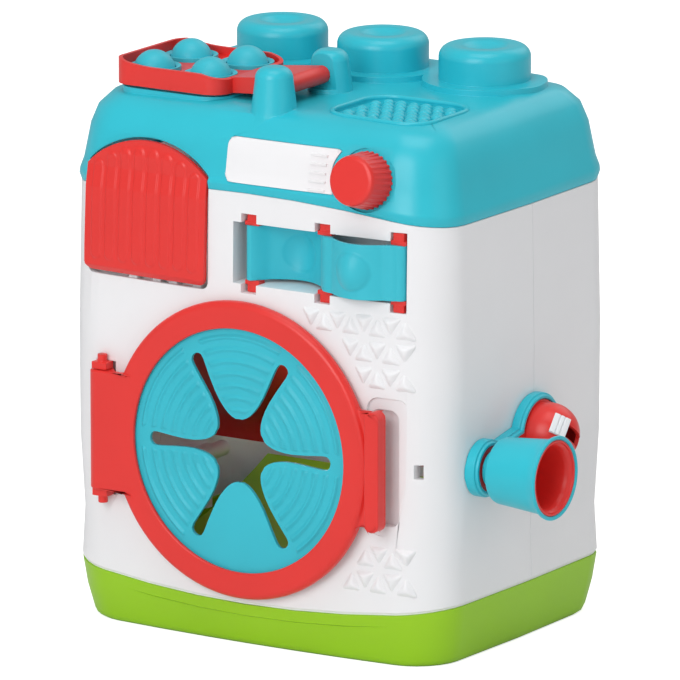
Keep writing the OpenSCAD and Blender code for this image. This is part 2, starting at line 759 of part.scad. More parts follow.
module grip_bar() {
  r = grip_w / 2;
  depth = door_t + 3;
  translate([0, 0, -tab_h / 2 + r]) rotate([90, 0, 0]) cylinder(r = r, h = depth);
  translate([0, 0, tab_h / 2 - r]) rotate([90, 0, 0]) cylinder(r = r, h = depth);
  translate([-r, -depth, -tab_h / 2 + r]) cube([grip_w, depth, tab_h - grip_w]);
}
// Half-width of a star arm against the distance along it, from the petal tips outwards
arm_shape = [[0.264, 0.152], [0.279, 0.12], [0.315, 0.092], [0.365, 0.068], [0.42, 0.054],
  [0.5, 0.042], [0.6, 0.04], [0.72, 0.048], [0.84, 0.06], [0.92, 0.067], [0.965, 0.062],
  [0.99, 0.04], [1, 0.012]];
module star(grow_by) {
  polygon([for (k = [0:5]) each concat(
    [for (i = [0:len(arm_shape) - 1]) arm_point(k, i, -1, grow_by)],
    [for (i = [len(arm_shape) - 1:-1:1]) arm_point(k, i, 1, grow_by)])]);
}
function arm_point(k, i, side, grow_by) =
  let (a = 60 * k, u = arm_shape[i][0] * star_r, v = side * (arm_shape[i][1] * star_r + (i > 0 ? grow_by : 0)))
  [u * cos(a) - v * sin(a), u * sin(a) + v * cos(a)];
module door_membrane() {
  rib_w = 1.5;
  rib_h = 0.7;
  ribs = 7;
  color(teal) difference() {
    union() {
      along_y(door_x, door_z, membrane_r, membrane_front, membrane_back);
      // Curved ribs on every petal but the lowest
      difference() {
        for (i = [0:ribs - 1]) let (r = eye_r - 4.5 - i * rib_pitch) difference() {
          along_y(door_x, door_z, r + rib_w / 2, membrane_front - rib_h, membrane_front + eps);
          along_y(door_x, door_z, r - rib_w / 2, -far, far);
        }
        translate([door_x, 0, door_z]) through_y(-far / 2, far / 2) {
          star(1.2);
          polygon([[0, 0], [-far * sin(30), -far * cos(30)], [far * sin(30), -far * cos(30)]]);
        }
      }
    }
    translate([door_x, 0, door_z]) through_y(-far / 2, far / 2) star(0);
  }
}
module door_clamp() {
  color(red) difference() {
    along_y(door_x, door_z, clamp_r - 0.2, membrane_back + 0.1, door_back + 3);
    along_y(door_x, door_z, eye_r + 0.8, -far, far);
  }
}
module door_hinge_pin() {
  // A rod with a square block at each end that keys it into the pocket
  color([0.8, 0.15, 0.13]) {
    translate([hinge_x, hinge_y, tab_z0 - 7.5]) cylinder(r = hinge_pin_r, h = tab_h + 15);
    for (z = [tab_z0 - pocket_over + 0.05, tab_z1 + 0.25])
      translate([hinge_x - 4.3, hinge_y - 3.4, z]) cube([8.6, 6.8, lug_h]);
  }
}

// ---------------------------------------------------------------- soap flap
flap_foot = lookup(flap_z0, [for (l = wall_levels) [l[0], l[1]]]) - flap_proud;
module soap_flap() {
  grooves = 8;
  groove_pitch = (flap_x1 - flap_x0 - 6) / grooves;
  color(red) difference() {
    union() {
      intersection() {
        through_y(-far / 2, -40) flap_outline(0);
        difference() {
          flap_skin(-flap_proud);
          flap_skin(flap_in);
        }
        // Bevel along the lower edge, so that the flap can tip past the wall
        loft([[flap_z0 - 2, flap_foot + flap_bevel + 2, 0], [flap_z0 + 4, flap_foot + flap_bevel - 4, 0],
          [flap_z1 + 9, flap_foot + flap_bevel - 4, 0]]);
      }
      for (ear = flap_ears) {
        along_x(flap_axis_y, flap_axis_z, flap_ear_r, ear[0], ear[1]);
        block(ear[0], ear[1], face_y(ear[0], 0) - 1, flap_axis_y + flap_ear_r, flap_axis_z, flap_axis_z + 4);
      }
    }
    // Shallow upright grooves
    intersection() {
      for (i = [1:grooves - 1]) let (x = flap_x0 + 3 + i * groove_pitch)
        block(x - 0.7, x + 0.7, -far, 0, flap_z0 + 6, flap_z1 - 6 - 0.0035 * pow(x - flap_mid, 2));
      difference() {
        block(-far, far, -far, 0, 0, far);
        flap_skin(-flap_proud + 0.7);
      }
    }
    along_x(flap_axis_y, flap_axis_z, flap_pin_r + run, flap_ears[0][0] - 1, flap_ears[1][1] + 1);
  }
}
// The casing surface behind the flap, running over the wall and the cover alike
module flap_skin(e) {
  loft(grow([wall_levels[2], wall_levels[3], wall_levels[4],
    [cover_z, 2, arch / 3], [cover_z + cover_h * 0.25, 3.7, 0], cover_levels[4], cover_levels[5]], e));
}
module flap_pin() {
  color(steel) along_x(flap_axis_y, flap_axis_z, flap_pin_r, flap_ears[0][0] - 6, flap_ears[1][1] + 6);
}

// ---------------------------------------------------------------- popping strip
function lobe(x) = lobe_d * sin(180 * (x - pin_xs[0]) / pin_pitch);
function slope(x) = lobe_d * 180 / pin_pitch * PI / 180 * cos(180 * (x - pin_xs[0]) / pin_pitch);
function strip_point(x, side) =
  let (s = slope(x), n = [-s, 1] / norm([s, 1])) [x, pin_y + lobe(x)] + side * n * strip_t / 2;
crown_r = 9.5;
crown_z = (win_z0 + win_z1) / 2;
crown_xs = [pin_mid_x - pin_pitch / 2, pin_mid_x + pin_pitch / 2];
module strip_pins() {
  color([0.8, 0.15, 0.13]) for (x = pin_xs) {
    translate([x, pin_y, win_z0 - notch_h + 0.1]) cylinder(r = strip_pin_r, h = win_z1 - win_z0 + 2 * notch_h - 0.2);
    for (z = [win_z0 - notch_h + 0.1, win_z1 - 0.4])
      translate([x - notch_w / 2 + fit, pin_y - 2.4, z]) cube([notch_w - 2 * fit, 5.4, notch_h + 0.3]);
  }
}
module pop_strip() {
  steps = 36;
  xs = [for (i = [0:steps]) pin_xs[0] + 2 * pin_pitch * i / steps];
  color(teal) difference() {
    union() {
      translate([0, 0, strip_z0]) linear_extrude(strip_z1 - strip_z0)
        polygon(concat([for (x = xs) strip_point(x, -1)],
          [for (i = [steps:-1:0]) strip_point(xs[i], 1)]));
      for (x = pin_xs) translate([x, pin_y, strip_z0]) cylinder(r = strip_pin_r + 1.6, h = strip_z1 - strip_z0);
    }
    for (x = pin_xs) translate([x, pin_y, 0]) cylinder(r = strip_pin_r + run, h = far);
    for (x = crown_xs) along_y(x, crown_z, crown_r + 0.3, -far / 2, 0);
  }
}
// A shallow dome standing out to one side of a lobe's middle
module crown(x, side) {
  rise = 3.4;
  ball = (crown_r * crown_r + rise * rise) / (2 * rise);
  y = pin_y + lobe(x);
  color(teal) intersection() {
    translate([x, y + side * (rise - ball + strip_t / 2), crown_z]) sphere(ball, $fn = 96);
    along_y(x, crown_z, crown_r, min(y - side * 3.2, y + side * 8), max(y - side * 3.2, y + side * 8));
  }
}
module left_crown() { crown(crown_xs[0], 1); }
module right_crown() { crown(crown_xs[1], -1); }

// ---------------------------------------------------------------- lid
lid_r = 10;
lid_wall = 2;
module lid_square(e) {
  round_rect(lid_x0 - e, lid_x1 + e, lid_y0 - e, lid_y0 + lid_w + e, lid_r + e);
}
bubble_hole_r = bubble_r + 3.2;
module at_bubble(i) {
  translate([lid_mid_x + (i % 2 == 0 ? -1 : 1) * bubble_pitch / 2,
    lid_mid_y + (i < 2 ? -1 : 1) * bubble_pitch / 2, 0]) children();
}
barrel_y0 = post_ys[0] + post_flat + clear;
barrel_y1 = post_ys[1] - post_flat - clear;
lid_barrel_r = 4.5;
module lid_tray() {
  low = lid_z0 + lid_wall_h;
  high = lid_z0 + lid_high_h;
  // The left wall stands tall and sweeps down in a hollow curve
  sweep = [for (i = [0:8]) let (t = i / 8) [lid_x0 + 4 + 22 * t, low + (high - low) * pow(1 - t, 2.4)]];
  color(red) difference() {
    union() {
      intersection() {
        translate([0, 0, lid_z0]) linear_extrude(lid_high_h) lid_square(0);
        through_y(lid_y0 - 1, lid_y0 + lid_w + 1) polygon(concat([[lid_x0 - 1, lid_z0], [lid_x0 - 1, high]],
          sweep, [[lid_x1 - 12, low], [lid_x1 + 1, low - 3], [lid_x1 + 1, lid_z0]]));
      }
      translate([0, barrel_y1, 0]) rotate([90, 0, 0]) linear_extrude(barrel_y1 - barrel_y0)
        polygon([[lid_x1 - lid_wall, lid_z0], [lid_axis_x - 1, lid_axis_z - lid_barrel_r + 0.1],
          [lid_axis_x, lid_axis_z], [lid_axis_x - 1, lid_axis_z + lid_barrel_r - 0.1],
          [lid_x1 - lid_wall, lid_z0 + 7.5]]);
      translate([lid_axis_x, barrel_y1, lid_axis_z]) rotate([90, 0, 0])
        cylinder(r = lid_barrel_r, h = barrel_y1 - barrel_y0);
    }
    translate([0, 0, lid_floor_z]) linear_extrude(far) lid_square(-lid_wall);
    translate([0, 0, lid_z0 - 1]) linear_extrude(under_z + 3 - lid_z0) lid_square(-lid_wall);
    for (i = [0:3]) at_bubble(i) translate([0, 0, lid_z0]) cylinder(r = bubble_hole_r, h = 10);
    translate([lid_axis_x, 0, lid_axis_z]) rotate([90, 0, 0])
      cylinder(r = lid_pin_r + run, h = far, center = true);
  }
}
module lid_backing() {
  color(red) difference() {
    translate([0, 0, under_z]) linear_extrude(0.95) lid_square(-lid_wall - fit);
    for (i = [0:3]) at_bubble(i) translate([0, 0, under_z - 1]) cylinder(r = bubble_r + 0.9, h = 5);
  }
}
module bubble_sheet() {
  sheet_z = under_z + 1;
  ring_h = 2;
  color(teal) difference() {
    union() {
      translate([0, 0, sheet_z]) linear_extrude(0.95) lid_square(-lid_wall - fit);
      for (i = [0:3]) at_bubble(i) translate([0, 0, sheet_z]) cylinder(r = bubble_hole_r - fit, h = lid_floor_z - sheet_z + ring_h);
    }
    for (i = [0:3]) at_bubble(i) {
      translate([0, 0, sheet_z - 1]) cylinder(r = bubble_r + 0.35, h = 12);
      translate([0, 0, lid_floor_z + ring_h - 0.8]) cylinder(r1 = bubble_r + 0.35, r2 = bubble_r + 2, h = 0.81);
    }
  }
}
module bubble(i) {
  skirt = 2.1;
  rise = 8;
  ball = (bubble_r * bubble_r + rise * rise) / (2 * rise);
  color(teal) at_bubble(i) translate([0, 0, lid_floor_z - 0.5]) {
    difference() {
      intersection() {
        union() {
          cylinder(r = bubble_r, h = skirt + eps);
          translate([0, 0, skirt + rise - ball]) sphere(ball, $fn = 96);
        }
        cylinder(r = bubble_r, h = 20);
      }
      translate([0, 0, skirt + rise - ball]) sphere(ball - 1.6, $fn = 96);
      translate([0, 0, -eps]) cylinder(r = bubble_r - 1.6, h = skirt);
    }
  }
}
module bubble_1() { bubble(0); }
module bubble_2() { bubble(1); }
module bubble_3() { bubble(2); }
module bubble_4() { bubble(3); }
module lid_pin() {
  color(steel) translate([lid_axis_x, post_ys[0] - 5.9, lid_axis_z]) rotate([-90, 0, 0])
    cylinder(r = lid_pin_r, h = post_ys[1] - post_ys[0] + 11.8);
}

// ---------------------------------------------------------------- dial
dial_foot = -1.5 + clear;
dial_face_r = dial_r - 2.2;
module dial_knob() {
  taper = atan((dial_r - dial_face_r) / dial_h);
  color(red) at_dial() difference() {
    union() {
      translate([0, 0, dial_foot]) rotate_extrude() polygon([[0, 0], [dial_r - 1, 0],
        [dial_face_r, dial_h - 2], [dial_face_r - 0.6, dial_h - 0.6], [dial_face_r - 2, dial_h], [0, dial_h]]);
      for (k = [0:dial_ribs - 1]) rotate(360 * k / dial_ribs)
        translate([dial_r - 1.1, 0, dial_foot + 0.01]) rotate([0, -taper, 0]) cylinder(r = 0.85, h = dial_h - 2.4);
    }
    translate([0, 0, -5]) cylinder(r = dial_r - 3.5, h = 5 + dial_foot + dial_h - 12);
    translate([0, 0, -5]) cylinder(r = dial_shaft_r + 0.02, h = 5 + dial_h - 7);
  }
}
module dial_shaft() {
  color(white) at_dial() difference() {
    translate([0, 0, -11]) cylinder(r = dial_shaft_r, h = 11 + dial_h - 7.2);
    translate([0, 0, -12]) cylinder(r = 1.02, h = 10);
  }
}
module dial_clip() {
  color(steel) at_dial() translate([0, 0, -8.2]) difference() {
    cylinder(r = 6, h = 1);
    translate([0, 0, -1]) cylinder(r = dial_shaft_r + 0.02, h = 3);
  }
}
module dial_screw() {
  color(steel) at_dial() {
    translate([0, 0, -12.8]) cylinder(r = 2.6, h = 1.75);
    translate([0, 0, -11.1]) cylinder(r = 1, h = 8);
  }
}

// ---------------------------------------------------------------- side toys
cup_stem_r = 5;
side_floor = 2.4;
plate_t = 2.4;
side_screw_y = (cup_y + dome_y) / 2;
side_screw_z = 101;
dome_base = side_floor + fit / 3 + plate_t;
dome_ball = dome_r + 0.15;
dome_lift = 4.6;
// The dome and its lever are turned, so that the lever slides to the lower rear
dome_turn = 51.7;
lever_h = dome_base + dome_lift;
lever_rest = 45;
lever_swing = 70;
lever_pin_r = 1.25;
module on_side() {
  translate([side_seat, 0, 0]) rotate([90, 0, 90]) children();
}
module at_dome() {
  on_side() translate([dome_y, dome_z, dome_base]) rotate([0, 0, dome_turn]) children();
}
module peanut(e) {
  translate([dome_y, dome_z]) circle(dome_r + 4.5 + e);
  translate([cup_y, cup_z]) circle(14.3 + e);
  hull() {
    translate([dome_y, dome_z]) circle(9 + e);
    translate([cup_y, cup_z]) circle(9 + e);
  }
}
module side_bezel() {
  color(teal) {
    // Skirt that closes the gap to the bowed wall
    difference() {
      on_side() translate([0, 0, -2.5]) linear_extrude(2.5 + eps) difference() {
        peanut(0);
        peanut(-2);
      }
      wall_solid(-fit);
    }
    on_side() difference() {
      union() {
        linear_extrude(bezel_t - 1.5) peanut(0);
        linear_extrude(bezel_t) peanut(-1.2);
      }
      translate([0, 0, side_floor]) linear_extrude(bezel_t) peanut(-3);
      translate([side_screw_y, side_screw_z, -1]) cylinder(r = screw_r + 0.03, h = side_floor);
      translate([dome_y, dome_z, -1]) cylinder(r = screw_r + 0.03, h = side_floor);
      translate([cup_y, cup_z, -1]) cylinder(r = cup_stem_r + run, h = 10);
    }
  }
}
module side_plate() {
  color(red) on_side() difference() {
    translate([0, 0, side_floor + fit / 3]) linear_extrude(plate_t) peanut(-3 - fit);
    translate([cup_y, cup_z, 0]) cylinder(r = cup_stem_r + 0.5, h = 20);
  }
}
slot_w = 3.2;
module side_dome() {
  dome_wall = 2;
  block_w = 12;
  color(red) at_dome() difference() {
    dome_form(dome_ball);
    // Hollow inside, apart from the two blocks that hold the lever's pin
    difference() {
      dome_form(dome_ball - dome_wall);
      for (s = [-1, 1]) translate([s > 0 ? slot_w + 0.4 : -slot_w - 0.4 - block_w, -4, -1])
        cube([block_w, 8, dome_lift + 4.5]);
    }
    // Slot, a little longer than the lever's travel
    translate([-slot_w, 0, dome_lift]) rotate([90, 0, 90]) linear_extrude(2 * slot_w)
      polygon([[0, 0], 2 * dome_ball * [sin(lever_rest + 12), cos(lever_rest + 12)],
        2 * dome_ball * [sin(lever_rest - lever_swing - 12), cos(lever_rest - lever_swing - 12)]]);
    translate([0, 0, dome_lift]) rotate([0, 90, 0])
      cylinder(r = lever_pin_r + 0.02, h = 18.2, center = true);
  }
}
// A half ball on a short collar
module dome_form(r) {
  translate([0, 0, r < dome_ball ? -eps : 0]) cylinder(r = r, h = dome_lift + eps);
  intersection() {
    translate([0, 0, dome_lift]) sphere(r, $fn = 96);
    translate([0, 0, dome_lift]) cylinder(r = r + 1, h = r + 1);
  }
}
module side_lever() {
  stem_w = slot_w - 0.4;
  thumb_w = 5;
  thumb_in = dome_ball + 0.35;
  thumb_out = thumb_in + 2.4;
  fan = 14;
  color(white) at_dome() translate([0, 0, dome_lift]) rotate([-lever_rest, 0, 0]) difference() {
    union() {
      rotate([0, 90, 0]) cylinder(r = 2.9, h = 2 * stem_w, center = true);
      translate([-stem_w, -1.6, 0]) cube([2 * stem_w, 3.2, thumb_in + 1]);
      // Thumb piece that rides over the dome
      translate([-thumb_w, 0, 0]) rotate([90, 0, 90]) linear_extrude(2 * thumb_w) intersection() {
        difference() {
          circle(thumb_out);
          circle(thumb_in);
        }
        polygon([[0, 0], 2 * thumb_out * [sin(fan), cos(fan)], 2 * thumb_out * [-sin(fan), cos(fan)]]);
      }
    }
    rotate([0, 90, 0]) cylinder(r = lever_pin_r + run, h = 4 * thumb_w, center = true);
    for (y = [-1.2, 1.2]) translate([-thumb_w - 1, y - 0.3, thumb_out - 0.8]) cube([2 * thumb_w + 2, 0.6, 2]);
  }
}
module lever_pin() {
  color(steel) at_dome() translate([0, 0, dome_lift]) rotate([0, 90, 0])
    cylinder(r = lever_pin_r, h = 18, center = true);
}
module side_screws() {
  color(steel) for (p = [[side_screw_y, side_screw_z], [dome_y, dome_z]])
    translate([side_x(p[0], 0) - wall - 0.8, p[0], p[1]]) rotate([0, 90, 0])
      screw(side_seat + side_floor - 1.2 - side_x(p[0], 0) + wall + 0.8);
}
cup_back = 10.5;
cup_back_r = 16;
cup_neck_r = 18.4;
cup_wall = 2;
cup_floor = 2.4;
flare_h = 5;
// Outline of a cup solid of revolution; inset moves it inwards
module cup_form(inset, z0) {
  top = cup_reach;
  round = 4;
  polygon([[0, z0], [cup_back_r - inset - round, z0], [cup_back_r - inset - 0.3 * round, z0 + 0.3 * round],
    [cup_back_r - inset, z0 + round],
    [cup_neck_r - inset, top - flare_h], [cup_neck_r + 1 - inset, top - flare_h + 2.4],
    [cup_r - inset, top - 1.4], [cup_r - inset, top + (inset > 0 ? 1 : 0)], [0, top + (inset > 0 ? 1 : 0)]]);
}
module at_cup() {
  translate([side_seat, cup_y, cup_z]) rotate([0, 90, 0]) children();
}
module cup_body() {
  color(teal) at_cup() difference() {
    rotate_extrude() cup_form(0, cup_back);
    rotate_extrude() cup_form(cup_wall, cup_back + cup_floor);
    translate([0, 0, cup_back - 1]) cylinder(r = cup_stem_r + 0.02, h = cup_floor + 2);
  }
}
module cup_liner() {
  color(red) at_cup() difference() {
    intersection() {
      rotate_extrude() cup_form(cup_wall + 0.1, cup_back + cup_floor + 0.1);
      cylinder(r = far, h = cup_reach - 0.6);
    }
    rotate_extrude() cup_form(cup_wall + 1.4, cup_back + cup_floor + 1.5);
  }
}
cup_inside = -13;
module cup_stem() {
  color(teal) at_cup() difference() {
    union() {
      translate([0, 0, cup_inside]) cylinder(r = cup_stem_r, h = cup_back + cup_floor - cup_inside);
      translate([0, 0, dome_base + clear]) cylinder(r = 9, h = cup_back - dome_base - clear - 0.05);
    }
    translate([0, 0, cup_inside - 1]) cylinder(r = 2, h = 14);
  }
}
module cup_clip() {
  color(steel) at_cup() difference() {
    translate([0, 0, cup_inside + 2]) cylinder(r = 8, h = 1.2);
    cylinder(r = cup_stem_r + 0.02, h = 3 * far, center = true);
  }
}

base_tray();
base_pads();
base_screws();
front_shell();
rear_shell();
shell_screws();
top_cover();
label_plate();
floor_ramp();
drum_baffle();
door_ring();
door_membrane();
door_clamp();
door_hinge_pin();
soap_flap();
flap_pin();
strip_pins();
pop_strip();
left_crown();
right_crown();
lid_tray();
lid_backing();
bubble_sheet();
bubble_1();
bubble_2();
bubble_3();
bubble_4();
lid_pin();
dial_knob();
dial_shaft();
dial_clip();
dial_screw();
side_bezel();
side_plate();
side_dome();
side_lever();
lever_pin();
side_screws();
cup_body();
cup_liner();
cup_stem();
cup_clip();
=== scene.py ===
import json
import math
import random

import bmesh
import bpy
from mathutils import Matrix, Vector
from mathutils.bvhtree import BVHTree

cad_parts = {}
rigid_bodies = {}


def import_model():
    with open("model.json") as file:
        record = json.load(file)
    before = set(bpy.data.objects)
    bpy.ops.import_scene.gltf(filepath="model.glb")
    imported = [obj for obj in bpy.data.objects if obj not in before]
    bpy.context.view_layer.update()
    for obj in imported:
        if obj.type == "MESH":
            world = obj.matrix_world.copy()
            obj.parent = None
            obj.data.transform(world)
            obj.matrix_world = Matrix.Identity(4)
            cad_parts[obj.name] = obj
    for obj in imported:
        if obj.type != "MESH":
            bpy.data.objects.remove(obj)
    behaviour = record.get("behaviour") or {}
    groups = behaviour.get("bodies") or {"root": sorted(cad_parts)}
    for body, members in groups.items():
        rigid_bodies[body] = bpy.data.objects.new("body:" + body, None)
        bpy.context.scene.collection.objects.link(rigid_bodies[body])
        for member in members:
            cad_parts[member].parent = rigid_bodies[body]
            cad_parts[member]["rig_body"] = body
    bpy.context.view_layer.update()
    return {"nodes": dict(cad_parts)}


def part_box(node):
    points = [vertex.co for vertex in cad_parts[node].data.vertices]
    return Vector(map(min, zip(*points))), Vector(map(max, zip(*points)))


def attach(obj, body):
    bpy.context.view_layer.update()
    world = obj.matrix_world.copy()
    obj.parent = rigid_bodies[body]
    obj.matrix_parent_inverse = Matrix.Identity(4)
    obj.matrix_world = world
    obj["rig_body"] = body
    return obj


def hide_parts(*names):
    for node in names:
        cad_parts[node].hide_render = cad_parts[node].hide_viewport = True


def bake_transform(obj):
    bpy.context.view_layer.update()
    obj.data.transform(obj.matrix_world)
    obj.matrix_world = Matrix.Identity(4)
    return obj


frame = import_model()
mm = 0.001


def add(name, data):
    ob = bpy.data.objects.new(name, data)
    bpy.context.scene.collection.objects.link(ob)
    return ob


# ---------------------------------------------------------------- camera, floor and light
# A long lens from the front right, a little above; a pale floor that runs out to white;
# broad soft lights from the front, above, the right and behind, and a faint lamp inside.
aim = Vector((0, 0, 137.6 * mm))
azimuth = math.radians(32.66)
elevation = math.radians(13)
distance = 5.366
from_aim = Vector((math.sin(azimuth) * math.cos(elevation),
                   -math.cos(azimuth) * math.cos(elevation), math.sin(elevation)))
lens = bpy.data.cameras.new("camera")
lens.sensor_width = 36
lens.lens = 575
lens.clip_end = 60
camera = add("camera", lens)
camera.location = aim + distance * from_aim
camera.rotation_euler = (-from_aim).to_track_quat("-Z", "Y").to_euler()
bpy.context.scene.camera = camera
bpy.context.scene.view_settings.view_transform = "Standard"

ambient = 0.42
key_power = 40
top_power = 19
fill_power = 4
back_power = 10
drum_power = 0.12
lamp_aim = Vector((0, 0, 0.13))


def soft_light(name, place, size, power):
    lamp = bpy.data.lights.new(name, "AREA")
    lamp.size = size
    lamp.energy = power
    ob = add(name, lamp)
    ob.location = place
    ob.rotation_euler = (lamp_aim - Vector(place)).to_track_quat("-Z", "Y").to_euler()


soft_light("key_light", (0.2, -2.7, 1.4), 1.8, key_power)
soft_light("top_light", (0.2, -0.4, 2.6), 1.6, top_power)
soft_light("fill_light", (2.4, -0.5, 0.8), 1.6, fill_power)
soft_light("back_light", (0.3, 2.1, 1.8), 1.8, back_power)
# Daylight that the white walls let through into the drum
drum_glow = bpy.data.lights.new("drum_glow", "POINT")
drum_glow.energy = drum_power
drum_glow.shadow_soft_size = 20 * mm
drum_glow.specular_factor = 0
add("drum_glow", drum_glow).location = (-10 * mm, 0, 125 * mm)

# The world lights the scene softly and looks plain white to the camera
world = bpy.data.worlds.new("studio")
bpy.context.scene.world = world
world.use_nodes = True
sky = world.node_tree
sky.nodes.clear()
sky_out = sky.nodes.new("ShaderNodeOutputWorld")
glow = sky.nodes.new("ShaderNodeBackground")
glow.inputs["Color"].default_value = (1, 1, 1, 1)
glow.inputs["Strength"].default_value = ambient
backdrop = sky.nodes.new("ShaderNodeBackground")
backdrop.inputs["Color"].default_value = (1, 1, 1, 1)
backdrop.inputs["Strength"].default_value = 1
rays = sky.nodes.new("ShaderNodeLightPath")
seen = sky.nodes.new("ShaderNodeMixShader")
sky.links.new(rays.outputs["Is Camera Ray"], seen.inputs["Fac"])
sky.links.new(glow.outputs["Background"], seen.inputs[1])
sky.links.new(backdrop.outputs["Background"], seen.inputs[2])
sky.links.new(seen.outputs["Shader"], sky_out.inputs["Surface"])

floor_half = 14
floor_grey = 0.8
floor_glow = 0.72
floor_bm = bmesh.new()
bmesh.ops.create_grid(floor_bm, x_segments=4, y_segments=4, size=floor_half)
floor_mesh = bpy.data.meshes.new("floor")
floor_bm.to_mesh(floor_mesh)
floor_bm.free()
floor = add("floor", floor_mesh)
floor_paint = bpy.data.materials.new("floor_paint")
floor_paint.use_nodes = True
paint = floor_paint.node_tree
paint.nodes.clear()
# The camera sees a floor that is nearly white, with the object's own shadow on it
matt = paint.nodes.new("ShaderNodeBsdfDiffuse")
matt.inputs["Color"].default_value = (floor_grey, floor_grey, floor_grey, 1)
white_out = paint.nodes.new("ShaderNodeEmission")
white_out.inputs["Color"].default_value = (1, 1, 1, 1)
white_out.inputs["Strength"].default_value = floor_glow
blend_in = paint.nodes.new("ShaderNodeAddShader")
floor_rays = paint.nodes.new("ShaderNodeLightPath")
floor_mix = paint.nodes.new("ShaderNodeMixShader")
floor_out = paint.nodes.new("ShaderNodeOutputMaterial")
paint.links.new(matt.outputs["BSDF"], blend_in.inputs[0])
paint.links.new(white_out.outputs["Emission"], blend_in.inputs[1])
paint.links.new(floor_rays.outputs["Is Camera Ray"], floor_mix.inputs["Fac"])
paint.links.new(matt.outputs["BSDF"], floor_mix.inputs[1])
paint.links.new(blend_in.outputs["Shader"], floor_mix.inputs[2])
paint.links.new(floor_mix.outputs["Shader"], floor_out.inputs["Surface"])
floor_mesh.materials.append(floor_paint)


# ---------------------------------------------------------------- green base
# The tray that the casing stands on and the ramp inside the drum: moulded green
# plastic with a satin surface, on four soft round pads.
def linear(colour):
    """A colour written as it looks on screen, 0 to 255, as the shader wants it."""
    return [((c / 255 + 0.055) / 1.055) ** 2.4 if c > 10 else c / 255 / 12.92
            for c in colour] + [1]


def finish(name, colour, roughness, mottle=0.03, grain=0.00002, grain_size=0.0012, soft=0.0):
    """A moulded or plated surface: a slightly uneven tint, faint flow and handling
    marks in the gloss, and a fine grain."""
    mat = bpy.data.materials.new(name)
    mat.use_nodes = True
    tree = mat.node_tree
    shader = tree.nodes["Principled BSDF"]
    shader.inputs["Sheen Weight"].default_value = soft
    shader.inputs["Sheen Roughness"].default_value = 0.4
    shader.inputs["IOR"].default_value = 1.47
    place = tree.nodes.new("ShaderNodeTexCoord")

    def cloud(scale, detail, stretch=(1, 1, 1)):
        turn = tree.nodes.new("ShaderNodeMapping")
        turn.inputs["Scale"].default_value = stretch
        tree.links.new(place.outputs["Object"], turn.inputs["Vector"])
        noise = tree.nodes.new("ShaderNodeTexNoise")
        noise.inputs["Scale"].default_value = scale
        noise.inputs["Detail"].default_value = detail
        tree.links.new(turn.outputs["Vector"], noise.inputs["Vector"])
        return noise.outputs["Fac"]

    ramp = tree.nodes.new("ShaderNodeValToRGB")
    base = linear(colour)
    ramp.color_ramp.elements[0].position = 0.3
    ramp.color_ramp.elements[0].color = [c * (1 - mottle) for c in base[:3]] + [1]
    ramp.color_ramp.elements[1].position = 0.7
    ramp.color_ramp.elements[1].color = [min(1, c * (1 + mottle)) for c in base[:3]] + [1]
    tree.links.new(cloud(22, 4), ramp.inputs["Fac"])
    tree.links.new(ramp.outputs["Color"], shader.inputs["Base Color"])
    # Long faint streaks over a cloudy gloss
    streak = tree.nodes.new("ShaderNodeMath")
    streak.operation = "MULTIPLY_ADD"
    streak.inputs[1].default_value = 0.2
    tree.links.new(cloud(60, 2, (1, 9, 14)), streak.inputs[0])
    tree.links.new(cloud(35, 5), streak.inputs[2])
    gloss = tree.nodes.new("ShaderNodeMapRange")
    gloss.inputs["From Min"].default_value = 0.35
    gloss.inputs["From Max"].default_value = 1.0
    gloss.inputs["To Min"].default_value = roughness - 0.03
    gloss.inputs["To Max"].default_value = roughness + 0.05
    tree.links.new(streak.outputs["Value"], gloss.inputs["Value"])
    tree.links.new(gloss.outputs["Result"], shader.inputs["Roughness"])
    bump = tree.nodes.new("ShaderNodeBump")
    bump.inputs["Strength"].default_value = 0.5
    bump.inputs["Distance"].default_value = grain
    tree.links.new(cloud(1 / grain_size, 3), bump.inputs["Height"])
    tree.links.new(bump.outputs["Normal"], shader.inputs["Normal"])
    return mat


def show(bm, name, body, mat, sharp=40, nodes=()):
    """Makes a finished piece of the mesh: smooth faces, crisp edges, a body to ride on."""
    for face in bm.faces:
        face.smooth = True
    for edge in bm.edges:
        edge.smooth = (len(edge.link_faces) == 2
                       and edge.calc_face_angle(0) < math.radians(sharp))
    mesh = bpy.data.meshes.new(name)
    bm.to_mesh(mesh)
    bm.free()
    mesh.materials.append(mat)
    ob = add(name, mesh)
    even = ob.modifiers.new("even_normals", "WEIGHTED_NORMAL")
    even.keep_sharp = True
    even.weight = 60
    if nodes:
        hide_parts(*nodes)
    if body:
        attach(ob, body)


def merged(node):
    """The node's own mesh, with its doubled corners joined."""
    bm = bmesh.new()
    bm.from_mesh(frame["nodes"][node].data)
    bmesh.ops.remove_doubles(bm, verts=bm.verts, dist=2e-6)
    return bm


def crisp_edges(bm, degrees):
    return [e for e in bm.edges if e.calc_face_angle(0) > math.radians(degrees)]


def round_edges(bm, edges, width, steps):
    bmesh.ops.bevel(bm, geom=edges, offset=width, offset_type="OFFSET", affect="EDGES",
                    segments=steps, profile=0.5, material=-1, clamp_overlap=True)


def moulding(node, mat, edge=0.3 * mm, sharp=40, steps=2):
    """The moulded piece itself, its crisp edges eased as the mould leaves them."""
    bm = merged(node)
    if edge:
        bmesh.ops.bevel(bm, geom=crisp_edges(bm, sharp), offset=edge, offset_type="OFFSET",
                        affect="EDGES", segments=steps, profile=0.5, material=-1,
                        clamp_overlap=False, loop_slide=True)
    bmesh.ops.triangulate(bm, faces=[f for f in bm.faces if len(f.verts) > 4])
    body = frame["nodes"][node]["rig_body"]
    show(bm, node + "_moulding", body, mat, sharp, (node,))


